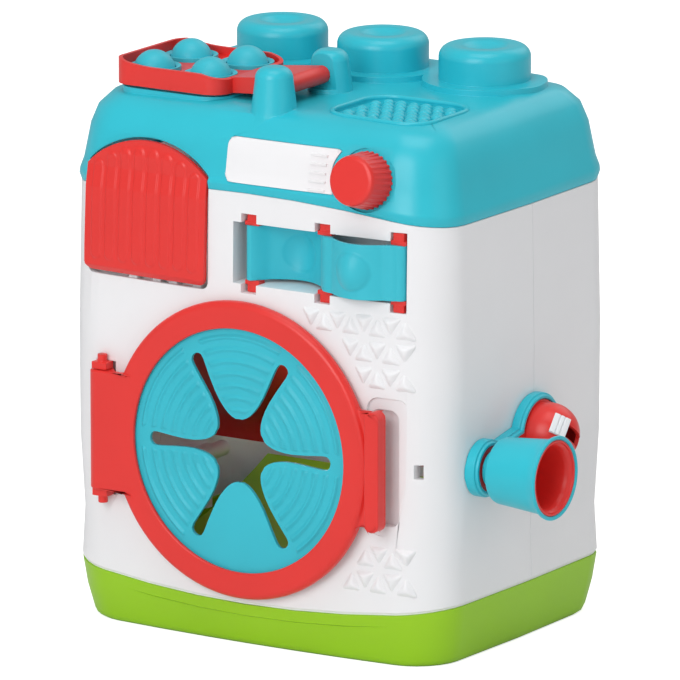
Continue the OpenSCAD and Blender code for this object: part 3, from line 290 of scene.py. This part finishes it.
green = finish("green_plastic", (153, 206, 20), 0.34)
moulding("base_tray", green)
moulding("floor_ramp", green)
pad_green = finish("pad_rubber", (60, 95, 22), 0.75, mottle=0.08, grain=0.00005)
moulding("base_pads", pad_green, edge=0.25 * mm)


# ---------------------------------------------------------------- white shells
# Front and rear halves of the casing, moulded in white and screwed together from
# behind. Beside the door the front carries a field of small raised triangles.
def front_of(skin, x, z):
    """The point and the normal where a line from the front first meets a surface."""
    return skin.ray_cast(Vector((x, -1, z)), Vector((0, 1, 0)))[:2]


def mid_of(low, high, axis):
    return (low[axis] + high[axis]) / 2


white = finish("white_plastic", (238, 238, 240), 0.36, mottle=0.01)
moulding("front_shell", white)
moulding("rear_shell", white)

casing_skin = BVHTree.FromBMesh(merged("front_shell"))
ring_low, ring_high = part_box("door_ring")
membrane_low, membrane_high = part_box("door_membrane")
door_x = mid_of(membrane_low, membrane_high, 0)
door_z = mid_of(membrane_low, membrane_high, 2)
ring_r = (ring_high[2] - ring_low[2]) / 2
ring_clear = 6 * mm
triangle_pitch = 14.8 * mm
triangle_row = 12.8 * mm
triangle_side = 8.2 * mm
triangle_top = 2.6 * mm
triangle_rise = 1.9 * mm
triangle_root = 1 * mm
triangle_edge = 1.1 * mm
# Height of a triangle's middle in its row, as a share of the row
down_share = 0.62
up_share = 0.30
first_tip_x = door_x + 68.1 * mm
first_tip_z = door_z + 64.3 * mm
last_triangle_x = 98 * mm
triangle_rows = (0, 1, 2, 9, 10)

bm = bmesh.new()
for row in triangle_rows:
    tip_z = first_tip_z - row * triangle_row
    for column in range(-4, 4):
        for down in (True, False):
            across = column + 0.5 * (row % 2) + (0 if down else 0.5)
            x = first_tip_x + across * triangle_pitch
            z = tip_z + triangle_row * (down_share if down else up_share)
            if (math.hypot(x - door_x, z - door_z) < ring_r + ring_clear
                    or x > last_triangle_x):
                continue
            spot, out = front_of(casing_skin, x, z)
            made = bmesh.ops.create_cone(bm, cap_ends=True, segments=3,
                                         radius1=triangle_side, radius2=triangle_top,
                                         depth=triangle_rise + triangle_root)
            bmesh.ops.rotate(bm, verts=made["verts"],
                             matrix=Matrix.Rotation(math.pi if down else 0, 3, "Z"))
            face_on = out.to_track_quat("Z", "Y").to_matrix().to_4x4()
            centre = spot + out * (triangle_rise - triangle_root) / 2
            bmesh.ops.transform(bm, verts=made["verts"],
                                matrix=Matrix.Translation(centre) @ face_on)
round_edges(bm, crisp_edges(bm, 25), triangle_edge, 3)
show(bm, "raised_triangles", "casing", white, 50)

# ---------------------------------------------------------------- turquoise top cover
# One moulding with the three studs, the square chute, the lid's hinge posts and the
# seat of the dial. A rounded patch in it is studded with close little domes to scrub.
teal = finish("teal_plastic", (44, 190, 208), 0.33)
moulding("top_cover", teal)

cover_skin = BVHTree.FromBMesh(merged("top_cover"))


def cover_top(x, y):
    return cover_skin.ray_cast(Vector((x, y, 1)), Vector((0, 0, -1)))[0].z


patch_x = 58 * mm
patch_y = -37 * mm
patch_w = 56 * mm
patch_d = 50 * mm
patch_r = 14 * mm
patch_z = cover_top(patch_x, patch_y)
dome_pitch = 7.2 * mm
dome_row = 0.866
dome_radii = (2.9, 3.6)
dome_margin = 0.6 * mm
dome_sink = 0.3 * mm
dome_cut = 0.35 * mm
dome_squash = 0.8
random.seed(7)
bm = bmesh.new()
for row in range(-6, 7):
    for column in range(-6, 7):
        x = (column + 0.5 * (row % 2)) * dome_pitch
        y = row * dome_pitch * dome_row
        size = random.uniform(*dome_radii) * mm
        inside_x = patch_w / 2 - dome_margin - size
        inside_y = patch_d / 2 - dome_margin - size
        corner = patch_r - dome_margin - size
        over = Vector((max(0, abs(x) - inside_x + corner),
                       max(0, abs(y) - inside_y + corner)))
        if abs(x) > inside_x or abs(y) > inside_y or over.length > corner:
            continue
        made = bmesh.ops.create_uvsphere(bm, u_segments=18, v_segments=10, radius=size)
        for v in made["verts"]:
            v.co = Vector((v.co.x + x + patch_x, v.co.y + y + patch_y,
                           patch_z - dome_sink + v.co.z * dome_squash))
bmesh.ops.bisect_plane(bm, geom=bm.verts[:] + bm.edges[:] + bm.faces[:],
                       plane_co=(0, 0, patch_z - dome_cut), plane_no=(0, 0, 1),
                       clear_inner=True)
show(bm, "scrub_domes", "casing", teal, 60)

# The raised lip round the patch
lip_r = patch_r + 1.0 * mm
lip_thick = 1.3 * mm
lip_steps = 12
lip_path = []
for corner in range(4):
    turn = math.radians(90 * corner)
    side_x = (1, -1, -1, 1)[corner] * (patch_w / 2 - patch_r)
    side_y = (1, 1, -1, -1)[corner] * (patch_d / 2 - patch_r)
    for step in range(lip_steps + 1):
        a = turn + math.radians(90 * step / lip_steps)
        x = patch_x + side_x + lip_r * math.cos(a)
        y = patch_y + side_y + lip_r * math.sin(a)
        lip_path.append((x, y, cover_top(x, y), 1))
lip_curve = bpy.data.curves.new("patch_lip_line", "CURVE")
lip_curve.dimensions = "3D"
lip_curve.bevel_depth = lip_thick
lip_curve.bevel_resolution = 4
run_round = lip_curve.splines.new("POLY")
run_round.points.add(len(lip_path) - 1)
for point, place in zip(run_round.points, lip_path):
    point.co = place
run_round.use_cyclic_u = True
lip_line = add("patch_lip_line", lip_curve)
bm = bmesh.new()
bm.from_mesh(lip_line.to_mesh())
lip_line.to_mesh_clear()
bpy.data.objects.remove(lip_line)
show(bm, "patch_lip", "casing", teal, 60)

# ---------------------------------------------------------------- label plate
# A bare white plate let into the cover, with five short raised lines beside the dial.
moulding("label_plate", white, edge=0.35 * mm)
plate_skin = BVHTree.FromBMesh(merged("label_plate"))
plate_low, plate_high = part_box("label_plate")
line_count = 5
line_gap = 4.2 * mm
first_line = 1.7
line_x = 41 * mm
line_w = 9.5 * mm
line_h = 1.4 * mm
line_rise = 0.8 * mm
line_root = 0.5 * mm
line_edge = 0.22 * mm
bm = bmesh.new()
for i in range(line_count):
    z = mid_of(plate_low, plate_high, 2) + (first_line - i) * line_gap
    made = bmesh.ops.create_cube(bm, size=1)
    for v in made["verts"]:
        x = line_x + v.co.x * line_w
        spot = front_of(plate_skin, x, z)[0]
        v.co = Vector((x, spot.y - (line_rise if v.co.y < 0 else -line_root),
                       z + v.co.z * line_h))
round_edges(bm, bm.edges[:], line_edge, 2)
show(bm, "label_lines", "casing", white, 50)

# ---------------------------------------------------------------- door
# A red ring with its hinge tab and grip bar in one moulding, a clamp ring behind it
# that holds the soft membrane, and a hinge pin with square ends.
red = finish("red_plastic", (228, 50, 45), 0.33)
moulding("door_ring", red, edge=0.9 * mm, steps=4)
for node in ("door_clamp", "door_hinge_pin"):
    moulding(node, red, edge=0.4 * mm, steps=3)

# ---------------------------------------------------------------- star membrane
# A soft turquoise silicone disc behind the door ring, slit into six petals with
# raised ribs that follow the ring; the lowest petal is left plain.
silicone = finish("teal_silicone", (50, 188, 206), 0.45, soft=0.08)
membrane_t = 1.8 * mm
membrane_set_back = 0.7 * mm
membrane_front = membrane_low[1] + membrane_set_back
membrane_r = (membrane_high[2] - membrane_low[2]) / 2
membrane_cuts = 90
star_r = 52.5 * mm
arm_turn = math.pi / 3
crown_rise = 0.9 * mm
crown_from_r = 60 * mm
crown_over = 22 * mm
rib_rs = [(56.5 - 6 * j) * mm for j in range(7)]
rib_half = 1.0 * mm
rib_rise = 0.9 * mm
# The ribs stop short of the slits and fade in over a short way; they end beside the
# plain petal over a width of twice rib_end
slit_margin = 1.6 * mm
rib_fade = 1.3 * mm
rib_end = 1.2 * mm
plain_petal = math.radians(270)
plain_half = math.radians(30)
# Half-width of a slit against the distance along it, from the petals' tips outwards
slit = [(0.264, 0.152), (0.279, 0.12), (0.315, 0.092), (0.365, 0.068), (0.42, 0.054),
        (0.5, 0.042), (0.6, 0.04), (0.72, 0.048), (0.84, 0.06), (0.92, 0.067),
        (0.965, 0.062), (0.99, 0.04), (1.0, 0.012)]
slit_end = 0.95
long_step = 0.07


def slit_half(u):
    for (u0, v0), (u1, v1) in zip(slit, slit[1:]):
        if u0 <= u <= u1:
            return v0 + (v1 - v0) * (u - u0) / (u1 - u0)
    return slit[0][1] if u < slit[0][0] else 0


def ease(t):
    t = max(0.0, min(1.0, t))
    return t * t * (3 - 2 * t)


def membrane_crown(x, z):
    return crown_rise * ease((crown_from_r - math.hypot(x, z)) / crown_over)


def petal_lift(x, z):
    """How far the membrane's front stands out: a slight crown, and the ribs on it."""
    r = math.hypot(x, z)
    a = math.atan2(z, x)
    away = (a + math.pi / 6) % arm_turn - math.pi / 6
    along = r * math.cos(away) / star_r
    side = abs(r * math.sin(away)) - slit_half(min(along, slit_end)) * star_r
    plain = abs((a - plain_petal + math.pi) % (2 * math.pi) - math.pi)
    ends = ease((side - slit_margin) / rib_fade)
    if plain < plain_half - rib_end / r:
        ends = 0
    elif plain < plain_half + rib_end / r:
        ends = min(ends, ease((plain - plain_half + rib_end / r) / (2 * rib_end / r)))
    near = min(abs(r - rr) for rr in rib_rs)
    rib = math.sqrt(max(0, 1 - (near / rib_half) ** 2)) if near < rib_half else 0
    return membrane_crown(x, z) + rib_rise * rib * ends


bm = bmesh.new()
outline = []
for arm in range(6):
    a = math.radians(60 * arm)
    fine = []
    for (u0, v0), (u1, v1) in zip(slit, slit[1:]):
        parts = 4 if u1 - u0 > long_step else 2
        fine += [(u0 + (u1 - u0) * i / parts, v0 + (v1 - v0) * i / parts)
                 for i in range(parts)]
    fine.append(slit[-1])
    edge_points = [(u, -v) for u, v in fine] + [(u, v) for u, v in reversed(fine[1:])]
    for i, (u, v) in enumerate(edge_points):
        out = a + math.radians(60) * (i / len(edge_points) - 0.5)
        outline.append((star_r * (u * math.cos(a) - v * math.sin(a)),
                        star_r * (u * math.sin(a) + v * math.cos(a)),
                        membrane_r * math.cos(out), membrane_r * math.sin(out)))
inner = [bm.verts.new((door_x + p[0], membrane_front, door_z + p[1])) for p in outline]
outer = [bm.verts.new((door_x + p[2], membrane_front, door_z + p[3])) for p in outline]
loops = []
for ring in (inner, outer):
    loops += [bm.edges.new((ring[i], ring[(i + 1) % len(ring)])) for i in range(len(ring))]
bmesh.ops.bridge_loops(bm, edges=loops)
across = [e for e in bm.edges if e not in set(loops)]
bmesh.ops.subdivide_edges(bm, edges=across, cuts=membrane_cuts, use_grid_fill=True)
bmesh.ops.recalc_face_normals(bm, faces=bm.faces)
if sum(f.normal.y for f in bm.faces) > 0:
    bmesh.ops.reverse_faces(bm, faces=bm.faces)
back = bmesh.ops.extrude_face_region(bm, geom=bm.faces[:])
back_verts = [g for g in back["geom"] if isinstance(g, bmesh.types.BMVert)]
bmesh.ops.translate(bm, verts=back_verts, vec=(0, membrane_t, 0))
bmesh.ops.recalc_face_normals(bm, faces=bm.faces)
plain_back = set(back_verts)
for v in bm.verts:
    lift = membrane_crown if v in plain_back else petal_lift
    v.co.y -= lift(v.co.x - door_x, v.co.z - door_z)
show(bm, "star_membrane", "door", silicone, 50, ("door_membrane",))

# ---------------------------------------------------------------- soap flap
# A red moulded flap with an arched top, bowed like the wall round it, with low broad
# upright ribs on its face. It tips outwards on a steel pin through two ears.
flap_low, flap_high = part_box("soap_flap")
flap_pin_low, flap_pin_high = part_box("flap_pin")
flap_skin = BVHTree.FromBMesh(merged("soap_flap"))
flap_w = flap_high[0] - flap_low[0]
flap_mid = mid_of(flap_low, flap_high, 0)
flap_arch_r = 52 * mm
flap_r = 4 * mm
flap_t = 2.6 * mm
flap_over = 0.9 * mm
flap_slope = 2.7 * mm
flap_slope_rate = 0.8
flap_edge = 0.4 * mm
flap_margin = 3 * mm
flap_top_margin = 1.5 * mm
flap_ribs = 8
flap_rib_pitch = (flap_w - 2 * flap_margin) / flap_ribs
flap_rib_half = 3.3 * mm
flap_rib_rise = 0.6 * mm
flap_rib_soft = 0.3
flap_rib_top_gap = 3.2 * mm
flap_rib_foot_gap = 9 * mm
flap_rib_xs = [flap_low[0] + flap_margin + (i + 0.5) * flap_rib_pitch
               for i in range(flap_ribs)]
ear_r = 2.6 * mm
ear_w = 8 * mm
ear_xs = (flap_low[0] + 34 * mm, flap_high[0] - 15 * mm)


def flap_top(x):
    """Height of the arched upper edge: an arc that stands a little over the piece."""
    rise = math.sqrt(flap_arch_r ** 2 - (x - flap_mid) ** 2)
    return flap_high[2] + flap_over - flap_arch_r + rise


def flap_face(x, z):
    """Depth of the flap's smooth face, taken along the middles of its ribs."""
    place = (x - flap_rib_xs[0]) / flap_rib_pitch
    left = max(0, min(len(flap_rib_xs) - 2, math.floor(place)))
    depths = []
    for rib_x in flap_rib_xs[left:left + 2]:
        highest = flap_top(rib_x) - flap_over - flap_top_margin
        height = max(flap_low[2] + flap_margin, min(z, highest))
        depths.append(front_of(flap_skin, rib_x, height)[0].y)
    return depths[0] + (depths[1] - depths[0]) * (place - left)


def flap_bevel(z):
    """The lower edge of the face slopes back, so that the flap tips past the wall."""
    return max(0, flap_low[2] + flap_slope - z) * flap_slope_rate


def flap_rib(x, z):
    """A low rib with round ends, below the arch and above the lower edge."""
    rib_x = min(flap_rib_xs, key=lambda candidate: abs(x - candidate))
    top = flap_top(rib_x) - flap_rib_top_gap - flap_rib_half
    beyond = max(z - top, flap_low[2] + flap_rib_foot_gap - z, 0)
    inward = 1 - math.hypot(x - rib_x, beyond) / flap_rib_half
    return flap_rib_rise * ease(inward / flap_rib_soft)


bm = bmesh.new()
bmesh.ops.create_grid(bm, x_segments=200, y_segments=110, size=0.5)
for v in bm.verts:
    x = flap_mid + v.co.x * flap_w
    inset = max(0, abs(v.co.x * flap_w) - (flap_w / 2 - flap_r))
    low = flap_low[2] + flap_r - math.sqrt(max(0, flap_r ** 2 - inset ** 2))
    z = low + (v.co.y + 0.5) * (flap_top(x) - low)
    v.co = (x, flap_face(x, z) + flap_bevel(z) - flap_rib(x, z), z)
bmesh.ops.recalc_face_normals(bm, faces=bm.faces)
if sum(f.normal.y for f in bm.faces) > 0:
    bmesh.ops.reverse_faces(bm, faces=bm.faces)
made = bmesh.ops.extrude_face_region(bm, geom=bm.faces[:])
for v in {g for g in made["geom"] if isinstance(g, bmesh.types.BMVert)}:
    v.co.y += flap_t + flap_rib(v.co.x, v.co.z) - flap_bevel(v.co.z)
bmesh.ops.recalc_face_normals(bm, faces=bm.faces)
round_edges(bm, crisp_edges(bm, 60), flap_edge, 3)
ear_y = mid_of(flap_pin_low, flap_pin_high, 1)
ear_z = mid_of(flap_pin_low, flap_pin_high, 2)
for ear_x in ear_xs:
    made = bmesh.ops.create_cone(bm, cap_ends=True, segments=32, radius1=ear_r,
                                 radius2=ear_r, depth=ear_w)
    bmesh.ops.transform(bm, verts=made["verts"],
                        matrix=Matrix.Translation((ear_x, ear_y, ear_z))
                        @ Matrix.Rotation(math.pi / 2, 4, "Y"))
show(bm, "ribbed_flap", "flap", red, 50, ("soap_flap",))

# ---------------------------------------------------------------- popping strip
# A soft turquoise band woven round three red pins, which are keyed into the window's
# frame. Its two lobes bow opposite ways, each with a round thumb dome, and pressing
# one in pops the other out.
band_low, band_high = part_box("pop_strip")
band_t = 1.8 * mm
band_gap = 0.1 * mm
band_edge = 0.25 * mm
barrel_r = 3.8 * mm
pin_r = 2.2 * mm
pin_xs = [band_low[0] + barrel_r, mid_of(band_low, band_high, 0), band_high[0] - barrel_r]
pin_y = mid_of(band_low, band_high, 1)
pin_pitch = pin_xs[1] - pin_xs[0]
lobe_d = (band_high[1] - band_low[1] - band_t) / 2
band_z0 = band_low[2] + band_gap
band_z1 = band_high[2] - band_gap
crown_r = 10.5 * mm
crown_rises = (2.2 * mm, 3.8 * mm)
crown_soft = 0.2
crown_z = (band_z0 + band_z1) / 2
crown_xs = [pin_xs[0] + pin_pitch / 2, pin_xs[1] + pin_pitch / 2]
wrap_w = 7 * mm
seam_gap = 0.4 * mm
bend_in = 2 * mm


def band_surface(x, z, face):
    """Depth of the band's front (face -1) or back (face 1): it bows between the pins,
    swells where it wraps them, and carries a dome in the middle of each lobe."""
    along = min(max(x, pin_xs[0]), pin_xs[2])
    middle = pin_y + lobe_d * math.sin(math.pi * (along - pin_xs[0]) / pin_pitch)
    beyond = max(pin_xs[0] - x, x - pin_xs[2], 0) / barrel_r
    near = min(abs(x - p) for p in pin_xs) / wrap_w
    half = band_t / 2 + (barrel_r - band_t / 2) * max(0, 1 - near * near) ** 2
    if beyond > 0:
        half = barrel_r * math.sqrt(max(0, 1 - beyond * beyond))
    for mid, rise in zip(crown_xs, (crown_rises[0], -crown_rises[1])):
        d = math.hypot(x - mid, z - crown_z) / crown_r
        if d < 1:
            middle += rise * (1 - d * d) * ease((1 - d) / crown_soft)
    return middle + face * half


bm = bmesh.new()
bmesh.ops.create_grid(bm, x_segments=170, y_segments=70, size=0.5)
made = bmesh.ops.extrude_face_region(bm, geom=bm.faces[:])
rear_verts = {g for g in made["geom"] if isinstance(g, bmesh.types.BMVert)}
for v in bm.verts:
    # Columns of the grid crowd towards the band's rounded ends
    swing = v.co.x + 0.5 * math.sin(math.pi * v.co.x)
    x = pin_xs[1] + swing * (pin_pitch + barrel_r)
    z = crown_z + v.co.y * (band_z1 - band_z0)
    v.co = (x, band_surface(x, z, 1 if v in rear_verts else -1), z)
bmesh.ops.remove_doubles(bm, verts=bm.verts, dist=2e-6)
bmesh.ops.recalc_face_normals(bm, faces=bm.faces)
round_edges(bm, crisp_edges(bm, 60), band_edge, 2)
seams = [crown_xs[0] + crown_r + seam_gap, pin_xs[1], crown_xs[1] + crown_r + seam_gap]
for seam_x in seams:
    bmesh.ops.bisect_plane(bm, geom=bm.verts[:] + bm.edges[:] + bm.faces[:],
                           plane_co=(seam_x, 0, 0), plane_no=(1, 0, 0), dist=1e-7)
bm.normal_update()
part_ends = [band_low[0] - 1 * mm] + seams + [band_high[0] + 1 * mm]
# Each quarter of the band lies between the casing's pin and the lobe beside it
quarters = (("left_lobe_a", "casing", "left_lobe",
             pin_xs[0] + bend_in, crown_xs[0] - crown_r, "left_crown"),
            ("left_lobe_b", "left_lobe", "casing",
             seams[0], pin_xs[1] - bend_in, "left_crown"),
            ("right_lobe_a", "casing", "right_lobe",
             pin_xs[1] + bend_in, crown_xs[1] - crown_r, "right_crown"),
            ("right_lobe_b", "right_lobe", "casing",
             seams[2], pin_xs[2] - bend_in, "right_crown"))
for i, (name, first, second, bend_from, bend_to, crown) in enumerate(quarters):
    part = bm.copy()
    outside = [f for f in part.faces
               if not part_ends[i] < f.calc_center_median().x < part_ends[i + 1]]
    bmesh.ops.delete(part, geom=outside, context="FACES")
    # The whole band's normals, so that no seam shows between the quarters
    whole = [tuple(v.normal) for v in part.verts]
    for face in part.faces:
        face.smooth = True
    mesh = bpy.data.meshes.new(name)
    part.to_mesh(mesh)
    part.free()
    mesh.materials.append(silicone)
    mesh.normals_split_custom_set_from_vertices(whole)
    ob = add(name, mesh)
    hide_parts("pop_strip", crown)
    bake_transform(ob)
bm.free()

pins_low, pins_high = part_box("strip_pins")
pin_short = 2 * mm
key_w = 6 * mm
key_d = 4.8 * mm
key_shift = 0.2 * mm
key_edge = 0.3 * mm
foot_w = 8.2 * mm
foot_d = key_d + 0.5 * mm
foot_h = 2.2 * mm
bm = bmesh.new()
for x in pin_xs:
    made = bmesh.ops.create_cone(bm, cap_ends=True, segments=24, radius1=pin_r,
                                 radius2=pin_r, depth=pins_high[2] - pins_low[2] - pin_short)
    bmesh.ops.translate(bm, verts=made["verts"], vec=(x, pin_y, crown_z))
    for z0, z1, foot_z in ((pins_low[2], band_z0, band_z0 - foot_h),
                           (band_z1, pins_high[2], band_z1)):
        for w, d, shift, low, high in ((key_w, key_d, key_shift, z0, z1),
                                       (foot_w, foot_d, 0, foot_z, foot_z + foot_h)):
            made = bmesh.ops.create_cube(bm, size=1)
            bmesh.ops.scale(bm, verts=made["verts"], vec=(w, d, high - low))
            bmesh.ops.translate(bm, verts=made["verts"],
                                vec=(x + shift, mid_of(pins_low, pins_high, 1),
                                     (low + high) / 2))
round_edges(bm, crisp_edges(bm, 60), key_edge, 2)
show(bm, "strip_pin_keys", "casing", red, 40, ("strip_pins",))

# ---------------------------------------------------------------- bubble lid
# A red tray on a long hinge arm. A soft sheet with four poppable bubbles is clamped
# from below into its four round holes.
for node in ("lid_tray", "lid_backing"):
    moulding(node, red, edge=0)
moulding("bubble_sheet", silicone)
for node in ("bubble_1", "bubble_2", "bubble_3", "bubble_4"):
    moulding(node, silicone, edge=0)

# ---------------------------------------------------------------- dial
# A ribbed red knob on a white shaft that clips in behind the cover's sloping front.
moulding("dial_knob", red, edge=0)
moulding("dial_shaft", white, edge=0.2 * mm)

# ---------------------------------------------------------------- side toys
# A turquoise bezel screwed to the right wall holds a red plate, a red dome with a
# white rocking lever, and a turquoise cup with a red lining that turns on its stem.
moulding("side_bezel", teal, edge=0.6 * mm, steps=3)
for node in ("side_plate", "cup_liner"):
    moulding(node, red, edge=0.4 * mm, steps=3)
moulding("side_dome", red, edge=0)
moulding("cup_stem", teal, edge=0.5 * mm, steps=3)

# The cup: a turned shape with a blunt back, straight wall and flared mouth
cup_low, cup_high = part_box("cup_body")
cup_y = mid_of(cup_low, cup_high, 1)
cup_z = mid_of(cup_low, cup_high, 2)
cup_r = (cup_high[2] - cup_low[2]) / 2
cup_long = cup_high[0] - cup_low[0]
cup_wall = 2 * mm
cup_floor = 2.4 * mm
stem_r = 5 * mm
back_r = 16.4 * mm
neck_r = 18.4 * mm
flare = 7 * mm
# Distance from the cup's back, and radius
profile = [(0, stem_r), (0, back_r - 2.2 * mm), (0.7 * mm, back_r - 0.7 * mm),
           (2.2 * mm, back_r),
           # the flare and the rounded rim
           (cup_long - flare, neck_r),
           (cup_long - 0.55 * flare, neck_r + 0.7 * mm),
           (cup_long - 0.25 * flare, cup_r - 0.3 * mm),
           (cup_long - 0.1 * flare, cup_r),
           (cup_long - 0.2 * mm, cup_r - 0.3 * mm),
           (cup_long, cup_r - 0.9 * mm),
           (cup_long - 0.2 * mm, cup_r - 1.6 * mm),
           # the inside of the mouth, the wall and the floor
           (cup_long - 0.12 * flare, cup_r - cup_wall),
           (cup_long - 0.3 * flare, cup_r - 0.3 * mm - cup_wall),
           (cup_long - 0.6 * flare, neck_r + 0.5 * mm - cup_wall),
           (cup_long - flare, neck_r - cup_wall),
           (4 * mm, back_r - cup_wall),
           (cup_floor, back_r - cup_wall - 1.6 * mm),
           (cup_floor, stem_r)]
bm = bmesh.new()
ring = [bm.verts.new((cup_low[0] + along, cup_y, cup_z + radius))
        for along, radius in profile]
wire = [bm.edges.new((ring[i], ring[(i + 1) % len(ring)])) for i in range(len(ring))]
bmesh.ops.spin(bm, geom=ring + wire, cent=(cup_low[0], cup_y, cup_z), axis=(1, 0, 0),
               angle=2 * math.pi, steps=96, use_merge=True)
bmesh.ops.recalc_face_normals(bm, faces=bm.faces)
show(bm, "toy_cup", "cup", teal, 40, ("cup_body",))
moulding("side_lever", white)

# ---------------------------------------------------------------- inside and metal
# The sloping red baffle in the drum, and the zinc-plated screws, pins and clips that
# hold the moulded pieces together.
moulding("drum_baffle", red)
steel = finish("zinc_steel", (170, 172, 176), 0.3, mottle=0.06)
for node in ("base_screws", "shell_screws", "flap_pin", "lid_pin", "lever_pin",
             "side_screws", "dial_clip", "dial_screw", "cup_clip"):
    moulding(node, steel, edge=0.15 * mm)
